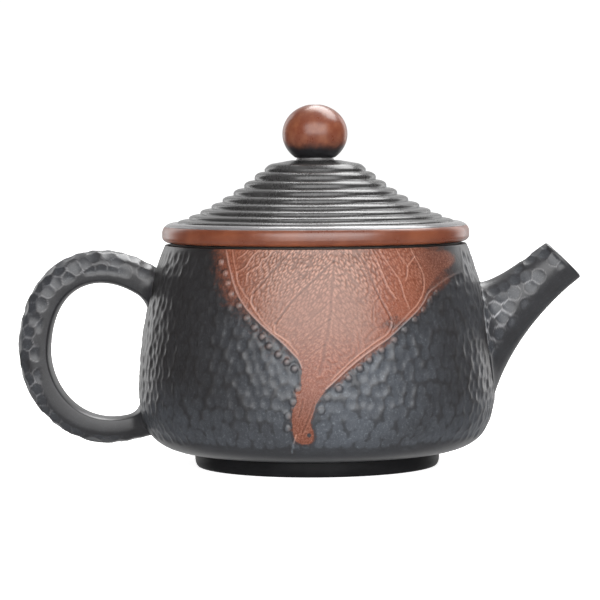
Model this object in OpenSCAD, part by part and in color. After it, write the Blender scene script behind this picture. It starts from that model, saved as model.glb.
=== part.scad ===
// Round clay teapot with a stepped lid, built from separately made clay pieces that are luted
// together before firing. The origin is on the pot's axis, at the plane that the foot stands on.
// +Z is up, +X points along the spout and -X along the handle. All sizes are in millimetres.

/* [Body] */
// Greatest radius of the belly
belly_r = 47.7; // [47:0.1:49]
// Height at which the belly is widest
belly_z = 19.5; // [18.5:0.5:22]
// Outer radius at the lip of the shoulder
lip_r = 40.2; // [39.9:0.1:40.6]
// Height of the shoulder's lip
lip_z = 59.1; // [58.8:0.1:59.4]
// Thickness of the wall
wall = 3.0; // [2.6:0.1:3.2]
// Thickness of the base slab
base_t = 3.0; // [2.6:0.1:3.2]

/* [Foot] */
// Outer radius of the foot ring
foot_r = 32.7; // [31.5:0.1:33.5]
// Radial width of the foot ring
foot_w = 5.5; // [4.5:0.1:7]
// Height of the foot ring
foot_h = 4.1; // [3.6:0.1:4.6]

/* [Mouth] */
// Radius of the mouth opening
mouth_r = 35.4; // [35.2:0.1:35.8]
// Height of the seat that the lid rests on
seat_z = 59.8; // [59.6:0.1:60.2]
// Depth of the mouth ring below the seat
mouth_ring_h = 3.1; // [2.8:0.1:3.3]
// Thickness of the slab that closes the shoulder around the mouth
top_disc_t = 2.8; // [2.4:0.1:3]

/* [Lid] */
// Greatest radius of the lid's rim band
lid_r = 41.0; // [40.8:0.1:41.4]
// Height of the rim band
rim_h = 4.2; // [4:0.1:4.4]
// Gap all round between the lid's collar and the mouth
collar_gap = 0.5; // [0.4:0.1:0.8]
// Depth of the collar below the seat
collar_depth = 7.5; // [6:0.5:8]
// Number of steps on the lid
steps = 9; // [8:1:9]
// Radius of the air hole through the lid and its knob
vent_r = 1.2; // [0.8:0.1:1.6]

/* [Knob] */
// Greatest radius of the knob
knob_r = 8.7; // [8:0.1:9.5]
// Half of the knob ball's height
knob_half_h = 7.9; // [7:0.1:8.6]
// Radius of the short neck under the knob
neck_r = 4.9; // [4.5:0.1:5.6]

/* [Spout] */
// Greatest half-width of the spout at its root
spout_root_half_w = 11.5; // [10:0.5:12.5]
// Half of the spout's width at its tip
spout_tip_half_w = 6.0; // [5.6:0.1:6.4]
// Thickness of the spout's wall at its tip
spout_tip_wall = 2.1; // [1.8:0.1:2.2]
// Radius of the hole through the pot's wall behind the spout
outlet_r = 8.0; // [7:0.5:8]

/* [Handle] */
// Half of the handle's thickness at its back
handle_half_t = 4.45; // [4:0.05:5]
// Half of the handle's width, across the pot
handle_half_w = 5.6; // [5:0.1:6.4]

/* [Hidden] */
$fn = 96;
outlet_z = 30;
strainer_r = 9.6;
strainer_t = 1.6;
strainer_hole_r = 1.0;
strainer_x = 42.6;
curve_steps = 14;
loft_steps = 22;
loft_sides = 20;
handle_steps = 20;
handle_sides = 16;

inner_ring_r = 38.7;
top_disc_r = 39.3;
spout_root_wall = 3.4;
handle_low_half_t = handle_half_t * 0.78;
handle_low_half_w = 5;
ring_low_z = seat_z - mouth_ring_h;
disc_low_z = ring_low_z - top_disc_t;
collar_r = mouth_r - collar_gap;
collar_in_r = collar_r - 2.5;
rim_top_z = seat_z + rim_h;
plate_top_z = rim_top_z + 17.4;
knob_low_z = plate_top_z + 0.7;
knob_z = knob_low_z + 6.3;

// Rounding that runs from the rim band over the edge of the lid plate
shoulder_centre = [lid_r - 3.0, rim_top_z - 1.8];
shoulder_h = 2.8;
shoulder_cut = asin((rim_top_z - shoulder_centre[1]) / shoulder_h);

// First step of the lid, and how the next ones move in and up
first_step_r = lid_r - 4.25;
first_step_z = rim_top_z + 0.7;
step_in = 3.0;
step_up = 1.09;
step_steepen = 0.078;
step_widen = 0.00018;

// Outer outline of the wall, as radius and height: foot to belly, then belly to lip
wall_low = [[foot_r, foot_h], [42.8, foot_h], [belly_r, 9.4], [belly_r, belly_z]];
wall_high = [[belly_r, belly_z], [belly_r, 33], [44.5, 50], [lip_r, lip_z]];

// Lower and upper edge of the spout seen from the side, as distance from the axis and height
spout_low = [[46.2, 13.8], [49.1, 25.3], [55.8, 37.9], [70.9, 50.0]];
spout_high = [[42.6, 48.0], [49.5, 49.6], [54.4, 53.8], [61.6, 59.1]];

// Centre line of the handle seen from the side, from its upper root over the back to its lower root
handle_upper = [[-43.2, 47.9], [-56, 58.6], [-74.5, 54.1], [-75.4, 32]];
handle_lower = [[-75.4, 32], [-75.9, 19], [-64, 4.0], [-45.0, 11.8]];
// Direction square to the wall at the handle's upper root
root_way = [-0.966, 0.26];

dark_clay = [0.24, 0.26, 0.29];
black_clay = [0.12, 0.12, 0.13];
brown_clay = [0.42, 0.27, 0.19];

// ---- curves ----

// Point at t on a cubic curve through four control points
function bezier(p, t) = pow(1 - t, 3) * p[0] + 3 * t * pow(1 - t, 2) * p[1]
    + 3 * t * t * (1 - t) * p[2] + pow(t, 3) * p[3];

// Direction of that curve at t
function bezier_way(p, t) = let (s = pow(1 - t, 2) * (p[1] - p[0]) + 2 * t * (1 - t) * (p[2] - p[1])
    + t * t * (p[3] - p[2])) s / norm(s);

// Points along the curve, set over to its left by a distance
function curve(p, inset = 0) = [for (i = [0:curve_steps]) let (t = i / curve_steps, way = bezier_way(p, t))
    bezier(p, t) + inset * [-way[1], way[0]]];

function backwards(points) = [for (i = [len(points) - 1:-1:0]) points[i]];

// Points of an elliptical arc about a centre
function arc(centre, radius, height, from, to, n = 8) = [for (i = [0:n]) let (a = from + (to - from) * i / n)
    centre + [radius * cos(a), height * sin(a)]];

function blend(a, b, t) = a + (b - a) * t;

// Radius of the lid's step i, and the height of the groove at its foot
function step_r(i) = first_step_r - step_in * i + step_widen * pow(i, 4);
function step_z(i) = first_step_z + step_up * i + step_steepen * i * i;

// ---- lofted pieces ----

// Ring of points on a section between its low and high point; bulge below 1 squares the section
function section(low, high, half_w, n, bulge = 1) = let (centre = (low + high) / 2, up = (high - low) / 2)
    [for (i = [0:n - 1]) let (a = 360 * i / n,
        c = sign(cos(a)) * pow(abs(cos(a)), bulge), s = sign(sin(a)) * pow(abs(sin(a)), bulge))
        [centre[0] + up[0] * c, half_w * s, centre[1] + up[1] * c]];

// Quadrilaterals between rings of n points, numbered from first
function side_faces(rings, n, first) = [for (j = [0:rings - 2], i = [0:n - 1])
    [first + j * n + i, first + j * n + (i + 1) % n, first + (j + 1) * n + (i + 1) % n, first + (j + 1) * n + i]];

function flipped(faces) = [for (f = faces) backwards(f)];

// Solid through a list of rings
module solid_loft(rings) {
    n = len(rings[0]);
    last = (len(rings) - 1) * n;
    ends = [[for (i = [n - 1:-1:0]) i], [for (i = [0:n - 1]) last + i]];
    polyhedron([for (r = rings) each r], concat(side_faces(len(rings), n, 0), ends), convexity = 6);
}

// Tube between a list of outer rings and a list of inner rings
module tube_loft(outer, inner) {
    n = len(outer[0]);
    m = len(outer);
    start = m * n;
    low_end = [for (i = [0:n - 1]) [i, start + i, start + (i + 1) % n, (i + 1) % n]];
    high_end = [for (i = [0:n - 1]) let (k = (m - 1) * n, next = (i + 1) % n)
        [k + i, k + next, start + k + next, start + k + i]];
    faces = concat(side_faces(m, n, 0), flipped(side_faces(m, n, start)), low_end, high_end);
    polyhedron([for (r = concat(outer, inner)) each r], faces, convexity = 8);
}

// ---- pot ----

// Outline of the space inside the wall, closed at the axis
function cavity_outline() = concat([[0, foot_h + base_t]], curve(wall_low, wall),
    [for (q = curve(wall_high, wall)) if (q[1] < disc_low_z) q], [[0, disc_low_z]]);

module base_disc() {
    color(dark_clay) translate([0, 0, foot_h]) cylinder(r = foot_r, h = base_t);
}

module body_wall() {
    outside = concat(curve(wall_low), [for (i = [1:curve_steps]) bezier(wall_high, i / curve_steps)]);
    rebate = [[inner_ring_r, lip_z], [inner_ring_r, ring_low_z], [top_disc_r, ring_low_z],
        [top_disc_r, disc_low_z], [lip_r - wall + 1, disc_low_z]];
    inside = backwards(concat(curve(wall_low, wall), [for (q = curve(wall_high, wall))
        if (q[1] > belly_z + 1 && q[1] < disc_low_z - 1) q]));
    color(dark_clay) difference() {
        rotate_extrude() polygon(concat(outside, rebate, inside));
        translate([belly_r - 12, 0, outlet_z]) rotate([0, 90, 0]) cylinder(r = outlet_r, h = 20);
    }
}

module top_disc() {
    color(dark_clay) translate([0, 0, disc_low_z]) difference() {
        cylinder(r = top_disc_r, h = top_disc_t);
        translate([0, 0, -1]) cylinder(r = mouth_r, h = top_disc_t + 2);
    }
}

module mouth_ring() {
    color(dark_clay) translate([0, 0, ring_low_z]) difference() {
        cylinder(r = inner_ring_r, h = mouth_ring_h);
        translate([0, 0, -1]) cylinder(r = mouth_r, h = mouth_ring_h + 2);
    }
}

module foot_ring() {
    outer_round = 0.9;
    outer_round_h = 2.4;
    inner_round = 1.4;
    foot_in_r = foot_r - foot_w;
    color(black_clay) rotate_extrude() polygon(concat(
        arc([foot_in_r + inner_round, inner_round], inner_round, inner_round, 180, 270),
        arc([foot_r - outer_round, outer_round_h], outer_round, outer_round_h, 270, 360),
        [[foot_r, foot_h], [foot_in_r, foot_h]]));
}

module spout() {
    ts = [for (i = [0:loft_steps]) i / loft_steps];
    outer = [for (t = ts) section(bezier(spout_low, t), bezier(spout_high, t), spout_half_w(t), loft_sides)];
    inner = [for (t = ts) let (low = bezier(spout_low, t), high = bezier(spout_high, t),
        thick = blend(spout_root_wall, spout_tip_wall, t), in = thick * (high - low) / norm(high - low))
        section(low + in, high - in, spout_half_w(t) - thick, loft_sides)];
    color(dark_clay) tube_loft(outer, inner);
}

// Half-width of the spout, which narrows quickly at the root and slowly at the tip
function spout_half_w(t) = blend(spout_tip_half_w, spout_root_half_w, pow(1 - t, 1.6));

module strainer() {
    rows = [[0, 1], [26, 6], [52, 12]];
    color(dark_clay) difference() {
        intersection() {
            translate([strainer_x, 0, outlet_z]) sphere(r = strainer_r);
            rotate_extrude() polygon(cavity_outline());
        }
        translate([strainer_x, 0, outlet_z]) sphere(r = strainer_r - strainer_t);
        for (row = rows, i = [0:row[1] - 1])
            translate([strainer_x, 0, outlet_z]) rotate([360 * i / row[1], 0, 0]) rotate([0, -90 + row[0], 0])
                translate([0, 0, 4]) cylinder(r = strainer_hole_r, h = strainer_r, $fn = 24);
    }
}

// Ring of points across the handle at t on one half of its centre line; it turns to lie along the
// wall as square goes from 0 to 1
function handle_ring(path, t, half_t, half_w, square = 0) = let (c = bezier(path, t),
    turned = blend(bezier_way(path, t), root_way, square), way = turned / norm(turned), out = [way[1], -way[0]])
    section(c - half_t * out, c + half_t * out, half_w, handle_sides, 0.86);

module handle() {
    upper = [for (i = [0:handle_steps]) let (t = i / handle_steps, root = pow(1 - t, 6))
        handle_ring(handle_upper, t, handle_half_t + 0.5 * root, handle_half_w + 0.8 * root, root)];
    lower = [for (i = [1:handle_steps]) let (t = i / handle_steps)
        handle_ring(handle_lower, t, blend(handle_half_t, handle_low_half_t, t),
            blend(handle_half_w, handle_low_half_w, t))];
    color(dark_clay) solid_loft(concat(upper, lower));
}

// ---- lid ----

module lid_plate() {
    last = steps - 1;
    crown_r = step_r(last);
    crown = [[crown_r, step_z(last)], [crown_r, step_z(last) + 0.6], [crown_r - 0.4, plate_top_z - 1.9],
        [crown_r - 1.1, plate_top_z - 1.25], [crown_r - 2.1, plate_top_z - 0.85],
        [neck_r + 1.5, plate_top_z], [vent_r, plate_top_z]];
    bullnoses = [for (i = [0:last - 1]) let (rise = step_z(i + 1) - step_z(i), go = step_r(i) - step_r(i + 1))
        each concat([[step_r(i), step_z(i)]],
            arc([step_r(i + 1), step_z(i) + 0.35 * rise], go, 0.65 * rise, 0, 90, 5))];
    underside = [for (i = [last:-1:3]) [step_r(i) - 0.1, step_z(i) - 3.3]];
    color(dark_clay) rotate_extrude() polygon(concat(
        [[collar_in_r, rim_top_z]],
        arc(shoulder_centre, lid_r - shoulder_centre[0], shoulder_h, shoulder_cut, 90, 5),
        bullnoses, crown, [[vent_r, plate_top_z - 3.6], [9.5, plate_top_z - 4.1]], underside));
}

module lid_rim() {
    edge = 1.6;
    color(brown_clay) rotate_extrude() polygon(concat(
        [[collar_in_r, seat_z]],
        arc([lid_r - edge, seat_z + edge], edge, edge, -90, 0),
        arc(shoulder_centre, lid_r - shoulder_centre[0], shoulder_h, 0, shoulder_cut, 5),
        [[collar_in_r, rim_top_z]]));
}

module lid_flange() {
    bevel = 0.6;
    low_z = seat_z - collar_depth;
    color(dark_clay) rotate_extrude() polygon([[collar_in_r, low_z], [collar_r - bevel, low_z],
        [collar_r, low_z + bevel], [collar_r, seat_z], [collar_in_r, seat_z]]);
}

module knob_collar() {
    flare = 0.3;
    color(black_clay) rotate_extrude() polygon([[vent_r, plate_top_z], [neck_r + flare, plate_top_z],
        [neck_r, plate_top_z + flare], [neck_r, knob_low_z], [vent_r, knob_low_z]]);
}

module knob() {
    low_angle = -asin((knob_z - knob_low_z) / knob_half_h);
    high_angle = acos(vent_r / knob_r);
    color(brown_clay) rotate_extrude() polygon(concat([[vent_r, knob_low_z]],
        arc([0, knob_z], knob_r, knob_half_h, low_angle, high_angle, 24)));
}

base_disc();
body_wall();
top_disc();
mouth_ring();
foot_ring();
spout();
strainer();
handle();
lid_plate();
lid_rim();
lid_flange();
knob_collar();
knob();
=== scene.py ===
"""Looks of a round hammered clay teapot with a leaf print, built around its fixed frame.

Lengths are in millimetres in the classes and in metres in the meshes. An angle round the pot
is measured from the front, -Y, towards the spout, +X.
"""

import logging
import math
from dataclasses import dataclass, field, replace
from enum import Enum
from typing import Any, Iterable, Optional, Sequence, Union

import bmesh
import bpy
import numpy as np
from mathutils import Matrix, Vector
from mathutils.kdtree import KDTree


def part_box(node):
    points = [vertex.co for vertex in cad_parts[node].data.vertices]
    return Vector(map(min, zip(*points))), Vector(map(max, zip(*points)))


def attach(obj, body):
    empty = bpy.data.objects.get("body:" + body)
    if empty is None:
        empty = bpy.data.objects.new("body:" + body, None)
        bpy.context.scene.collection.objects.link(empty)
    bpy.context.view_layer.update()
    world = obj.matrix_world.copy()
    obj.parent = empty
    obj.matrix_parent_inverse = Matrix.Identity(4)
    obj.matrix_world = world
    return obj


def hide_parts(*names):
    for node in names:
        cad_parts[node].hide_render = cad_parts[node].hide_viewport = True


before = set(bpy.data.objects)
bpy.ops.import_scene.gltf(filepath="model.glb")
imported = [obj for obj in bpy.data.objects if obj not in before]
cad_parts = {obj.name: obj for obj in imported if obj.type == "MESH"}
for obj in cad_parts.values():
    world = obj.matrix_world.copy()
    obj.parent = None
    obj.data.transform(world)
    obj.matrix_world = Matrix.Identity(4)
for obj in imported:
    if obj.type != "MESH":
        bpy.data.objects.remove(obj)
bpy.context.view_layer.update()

LOG = logging.getLogger("teapot")
MM = 0.001
Colour = tuple[float, float, float]
Point = tuple[float, float]


# ---------------------------------------------------------------- numbers and curves


def smooth(low: float, high: float, value: np.ndarray) -> np.ndarray:
    """Eases from 0 at low to 1 at high."""
    t = np.clip((np.asarray(value, float) - low) / (high - low), 0.0, 1.0)
    return t * t * (3.0 - 2.0 * t)


def bezier(points: Sequence[Point], t: np.ndarray) -> np.ndarray:
    """Points on a cubic curve.

    Args:
        points: Its four control points.
        t: Places along it, from 0 to 1.

    Returns:
        One row of two coordinates for each t.
    """
    p = np.asarray(points, float)
    t = np.asarray(t, float)[..., None]
    s = 1.0 - t
    return s**3 * p[0] + 3 * t * s**2 * p[1] + 3 * t**2 * s * p[2] + t**3 * p[3]


def through(points: Sequence[Point], steps: int = 10) -> np.ndarray:
    """A smooth path that passes through listed points.

    Args:
        points: The points, two or more.
        steps: Pieces between two neighbours.

    Returns:
        The path's points.
    """
    p = np.asarray(points, float)
    padded = np.vstack([2 * p[0] - p[1], p, 2 * p[-1] - p[-2]])
    t = (np.arange(steps) / steps)[:, None]
    rows = []
    for a, b, c, d in zip(padded, padded[1:], padded[2:], padded[3:]):
        curve = 2 * b + (c - a) * t + (2 * a - 5 * b + 4 * c - d) * t**2 + (3 * b - a - 3 * c + d) * t**3
        rows.append(0.5 * curve)
    return np.vstack(rows + [p[-1:]])


def distance_to(path: np.ndarray, where: np.ndarray) -> np.ndarray:
    """Distance from each place to the nearest point of a path.

    Args:
        path: The path's points.
        where: Places, one row each.

    Returns:
        One distance for each place.
    """
    best = np.full(len(where), np.inf)
    for a, b in zip(path, path[1:]):
        way = b - a
        t = np.clip(((where - a) @ way) / max(way @ way, 1e-12), 0.0, 1.0)
        gap = where - a - t[:, None] * way
        np.minimum(best, np.einsum("ij,ij->i", gap, gap), out=best)
    return np.sqrt(best)


def inside(outline: np.ndarray, where: np.ndarray) -> np.ndarray:
    """Tells which places lie inside a closed outline.

    Args:
        outline: The outline's points; the last joins the first.
        where: Places, one row each.

    Returns:
        True for each place inside.
    """
    hit = np.zeros(len(where), bool)
    x, y = where.T
    for (ax, ay), (bx, by) in zip(outline, np.roll(outline, -1, axis=0)):
        if ay != by:
            hit ^= ((ay > y) != (by > y)) & (x < (bx - ax) * (y - ay) / (by - ay) + ax)
    return hit


def scatter(seed: int, columns: int, rows: int, jitter: float) -> np.ndarray:
    """Points of a staggered unit grid, each moved at random.

    Args:
        seed: Seed of the random moves.
        columns: Points across.
        rows: Points up.
        jitter: Largest move, in cells.

    Returns:
        The points, one row each.
    """
    rng = np.random.default_rng(seed)
    x, y = np.meshgrid(np.arange(columns, dtype=float), np.arange(rows, dtype=float))
    x += 0.5 * (y % 2)
    grid = np.stack([x.ravel(), y.ravel()], axis=1)
    return grid + rng.uniform(-jitter, jitter, grid.shape)


def cell_edges(seeds: np.ndarray, where: np.ndarray) -> np.ndarray:
    """How far each place is from the border between its two nearest seeds.

    Args:
        seeds: Centres of the cells.
        where: Places, one row each.

    Returns:
        Half the difference of the two nearest distances, for each place.
    """
    tree = KDTree(len(seeds))
    for i, (x, y) in enumerate(seeds):
        tree.insert((x, y, 0.0), i)
    tree.balance()
    gaps = np.empty(len(where))
    for i, (x, y) in enumerate(where):
        near = tree.find_n((x, y, 0.0), 2)
        gaps[i] = 0.5 * (near[1][2] - near[0][2])
    return gaps


# ---------------------------------------------------------------- meshes


def as_object(name: str, mesh: bpy.types.Mesh) -> bpy.types.Object:
    """Puts a mesh in the scene as an object at the origin, smooth shaded."""
    piece = bpy.data.objects.new(name, mesh)
    bpy.context.scene.collection.objects.link(piece)
    mesh.shade_smooth()
    return piece


def grid_faces(rows: int, columns: int, around: bool) -> np.ndarray:
    """Quadrilaterals of a grid of points, row by row.

    Args:
        rows: Rows of points.
        columns: Points in a row.
        around: Whether a row's last point joins its first.

    Returns:
        Four point numbers for each face.
    """
    steps = columns if around else columns - 1
    i = np.arange(rows - 1)[:, None] * columns
    j = np.arange(steps)[None, :]
    k = (j + 1) % columns
    return np.stack([i + j, i + k, i + columns + k, i + columns + j], axis=-1).reshape(-1, 4)


def build(name: str, points: np.ndarray, faces: Sequence[Sequence[int]]) -> bpy.types.Object:
    """Makes a closed piece with its faces outwards.

    Args:
        name: The piece's name.
        points: Its points in millimetres.
        faces: Its faces; points that lie together are merged.

    Returns:
        The new object.
    """
    mesh = bpy.data.meshes.new(name)
    mesh.from_pydata((points * MM).tolist(), [], [list(map(int, f)) for f in faces])
    work = bmesh.new()
    work.from_mesh(mesh)
    bmesh.ops.remove_doubles(work, verts=work.verts, dist=1e-6)
    bmesh.ops.dissolve_degenerate(work, edges=work.edges, dist=1e-7)
    bmesh.ops.recalc_face_normals(work, faces=work.faces)
    work.to_mesh(mesh)
    work.free()
    return as_object(name, mesh)


def turned(name: str, outline: np.ndarray, columns: int) -> bpy.types.Object:
    """A piece turned on the wheel: a closed outline of radius and height swept round +Z.

    Args:
        name: The piece's name.
        outline: Radius and height, round the section; it closes on its first point.
        columns: Points round the axis.

    Returns:
        The new object.
    """
    rows = np.vstack([outline, outline[:1]])
    angle = np.arange(columns) * 2 * math.pi / columns
    x = rows[:, :1] * np.sin(angle)
    y = -rows[:, :1] * np.cos(angle)
    z = np.repeat(rows[:, 1:], columns, axis=1)
    points = np.stack([x, y, z], axis=-1).reshape(-1, 3)
    return build(name, points, grid_faces(len(rows), columns, True))


def arc(centre: Point, radius: Point, start: float, end: float, steps: int) -> np.ndarray:
    """Points of an elliptical arc.

    Args:
        centre: The arc's centre.
        radius: Its two half-axes.
        start: First angle in degrees.
        end: Last angle in degrees.
        steps: Pieces along it.

    Returns:
        The points.
    """
    a = np.radians(np.linspace(start, end, steps + 1))
    return np.stack([centre[0] + radius[0] * np.cos(a), centre[1] + radius[1] * np.sin(a)], axis=1)


def line(a: Point, b: Point, steps: int) -> np.ndarray:
    """Points of a straight line, without its last point."""
    start, end = np.asarray(a, float), np.asarray(b, float)
    return start + (np.arange(steps) / steps)[:, None] * (end - start)


def fillet(gap: np.ndarray, size: float) -> np.ndarray:
    """How far a round fillet of a size spreads along the wall, at a gap from the wall."""
    share = 1.0 - np.clip(gap / size, 0.0, 1.0)
    return size * (1.0 - np.sqrt(1.0 - share**2))


def write_values(piece: bpy.types.Object, name: str, values: np.ndarray) -> None:
    """Stores one number for each point of a piece as a named attribute."""
    attribute = piece.data.attributes.new(name, "FLOAT", "POINT")
    attribute.data.foreach_set("value", np.ascontiguousarray(values, np.float32))


def write_plain(piece: bpy.types.Object, frost_and_light: float) -> None:
    """Stores that a piece has no leaf on it and an even share of blue-grey frosting, which is partly
    painted light.
    """
    count = len(piece.data.vertices)
    for name in ("relief", "brown", "pale_and_sheen", "relief_light_and_shade"):
        write_values(piece, name, np.zeros(count))
    write_values(piece, "frost_and_light", np.full(count, frost_and_light))


def points_of(piece: bpy.types.Object) -> np.ndarray:
    """The piece's points in millimetres."""
    flat = np.empty(len(piece.data.vertices) * 3)
    piece.data.vertices.foreach_get("co", flat)
    return flat.reshape(-1, 3) / MM


# ---------------------------------------------------------------- node trees


class Term:
    """One value in a node tree. Python operators on it add the tree's Math nodes."""

    def __init__(self, tree: bpy.types.NodeTree, socket: bpy.types.NodeSocket) -> None:
        """Wraps an output socket of a tree."""
        self.tree = tree
        self.socket = socket

    def math(self, operation: str, *values: "Value", clamp: bool = False) -> "Term":
        """Adds a Math node.

        Args:
            operation: The node's operation.
            *values: Its inputs, in order.
            clamp: Whether its result stays between 0 and 1.

        Returns:
            The node's result.
        """
        node = self.tree.nodes.new("ShaderNodeMath")
        node.operation = operation
        node.use_clamp = clamp
        for socket, value in zip(node.inputs, values):
            plug(self.tree, socket, value)
        return Term(self.tree, node.outputs[0])

    def __add__(self, other: "Value") -> "Term":
        """Sum."""
        return self.math("ADD", self, other)

    __radd__ = __add__

    def __sub__(self, other: "Value") -> "Term":
        """Difference."""
        return self.math("SUBTRACT", self, other)

    def __rsub__(self, other: "Value") -> "Term":
        """Difference from a number."""
        return self.math("SUBTRACT", other, self)

    def __mul__(self, other: "Value") -> "Term":
        """Product."""
        return self.math("MULTIPLY", self, other)

    __rmul__ = __mul__

    def __truediv__(self, other: "Value") -> "Term":
        """Quotient."""
        return self.math("DIVIDE", self, other)

    def __pow__(self, other: "Value") -> "Term":
        """Power."""
        return self.math("POWER", self, other)

    def __mod__(self, other: "Value") -> "Term":
        """Remainder, never negative."""
        return self.math("FLOORED_MODULO", self, other)

    def held(self) -> "Term":
        """The value kept between 0 and 1."""
        return self.math("ADD", self, 0.0, clamp=True)

    def eased(self, low: float, high: float) -> "Term":
        """Eases from 0 at low to 1 at high."""
        node = self.tree.nodes.new("ShaderNodeMapRange")
        node.interpolation_type = "SMOOTHSTEP"
        for name, value in (("Value", self), ("From Min", low), ("From Max", high)):
            plug(self.tree, node.inputs[name], value)
        return Term(self.tree, node.outputs[0])


Value = Union[Term, float, int, Sequence[float], bool, bpy.types.ID]


def plug(tree: bpy.types.NodeTree, socket: bpy.types.NodeSocket, value: Value) -> None:
    """Links a term to a socket, or sets the socket to a constant."""
    if isinstance(value, Term):
        tree.links.new(value.socket, socket)
    elif isinstance(value, (tuple, list)) and socket.type == "RGBA" and len(value) == 3:
        socket.default_value = (*value, 1.0)
    else:
        socket.default_value = value


class Weaver:
    """Adds nodes to one tree."""

    def __init__(self, tree: bpy.types.NodeTree) -> None:
        """Takes the tree to add to."""
        self.tree = tree

    def node(self, kind: str, settings: Optional[dict[str, Any]] = None,
             inputs: Optional[dict[Union[str, int], Value]] = None) -> bpy.types.Node:
        """Adds one node.

        Args:
            kind: The node's type.
            settings: Its own settings, set first.
            inputs: Values or links of its sockets, by name or number.

        Returns:
            The new node.
        """
        made = self.tree.nodes.new(kind)
        for name, value in (settings or {}).items():
            setattr(made, name, value)
        shown = [s for s in made.inputs if s.enabled]
        for name, value in (inputs or {}).items():
            numbered = isinstance(name, int)
            socket = made.inputs[name] if numbered else next(s for s in shown if s.name == name)
            plug(self.tree, socket, value)
        return made

    def term(self, kind: str, settings: Optional[dict[str, Any]] = None,
             inputs: Optional[dict[Union[str, int], Value]] = None, output: Union[str, int] = 0) -> Term:
        """Adds one node and returns one of its outputs; the arguments are those of node()."""
        made = self.node(kind, settings, inputs)
        if isinstance(output, int):
            return Term(self.tree, [s for s in made.outputs if s.enabled][output])
        return Term(self.tree, next(s for s in made.outputs if s.name == output and s.enabled))


class Paint(Weaver):
    """Builds one clay material."""

    def __init__(self, name: str) -> None:
        """Starts an empty material with its surface node."""
        self.material = bpy.data.materials.new(name)
        self.material.use_nodes = True
        super().__init__(self.material.node_tree)
        self.surface = self.tree.nodes["Principled BSDF"]
        place = self.term("ShaderNodeTexCoord", output="Object")
        self.place = self.scaled(place, 1.0 / MM)

    def scaled(self, vector: Term, factor: Union[float, Sequence[float]]) -> Term:
        """A vector times a number, or times one number for each axis."""
        if isinstance(factor, (int, float)):
            return self.term("ShaderNodeVectorMath", {"operation": "SCALE"},
                             {"Vector": vector, "Scale": factor})
        return self.term("ShaderNodeVectorMath", {"operation": "MULTIPLY"}, {0: vector, 1: tuple(factor)})

    def attribute(self, name: str) -> Term:
        """A named attribute of the piece."""
        return self.term("ShaderNodeAttribute", {"attribute_name": name}, output="Fac")

    def noise(self, size: float, detail: float = 2.0, roughness: float = 0.5,
              place: Optional[Term] = None) -> Term:
        """Cloudy noise.

        Args:
            size: Size of its blobs in millimetres.
            detail: How many finer layers it has.
            roughness: Strength of the finer layers.
            place: Where it is read, in millimetres; the object's own coordinates if left out.

        Returns:
            A value around 0.5.
        """
        return self.term("ShaderNodeTexNoise", inputs={
            "Vector": place or self.place, "Scale": 1.0 / size, "Detail": detail, "Roughness": roughness})

    def mix(self, factor: Value, low: Value, high: Value) -> Term:
        """Mixes two colours."""
        return self.term("ShaderNodeMix", {"data_type": "RGBA"},
                         {"Factor": factor, "A": low, "B": high}, output="Result")

    def bump(self, height: Term, depth: float, below: Optional[Term] = None) -> Term:
        """A bumped normal.

        Args:
            height: Height between 0 and 1.
            depth: What a height of 1 stands for, in millimetres.
            below: A normal that it adds to.

        Returns:
            The new normal.
        """
        inputs: dict[Union[str, int], Value] = {"Height": height, "Distance": depth * MM, "Strength": 1.0}
        if below is not None:
            inputs["Normal"] = below
        return self.term("ShaderNodeBump", inputs=inputs)

    def finish(self, **sockets: Value) -> bpy.types.Material:
        """Sets the surface's sockets and returns the material; an underscore in a name is a space."""
        for name, value in sockets.items():
            plug(self.tree, self.surface.inputs[name.replace("_", " ")], value)
        return self.material


# ---------------------------------------------------------------- finishes


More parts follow.
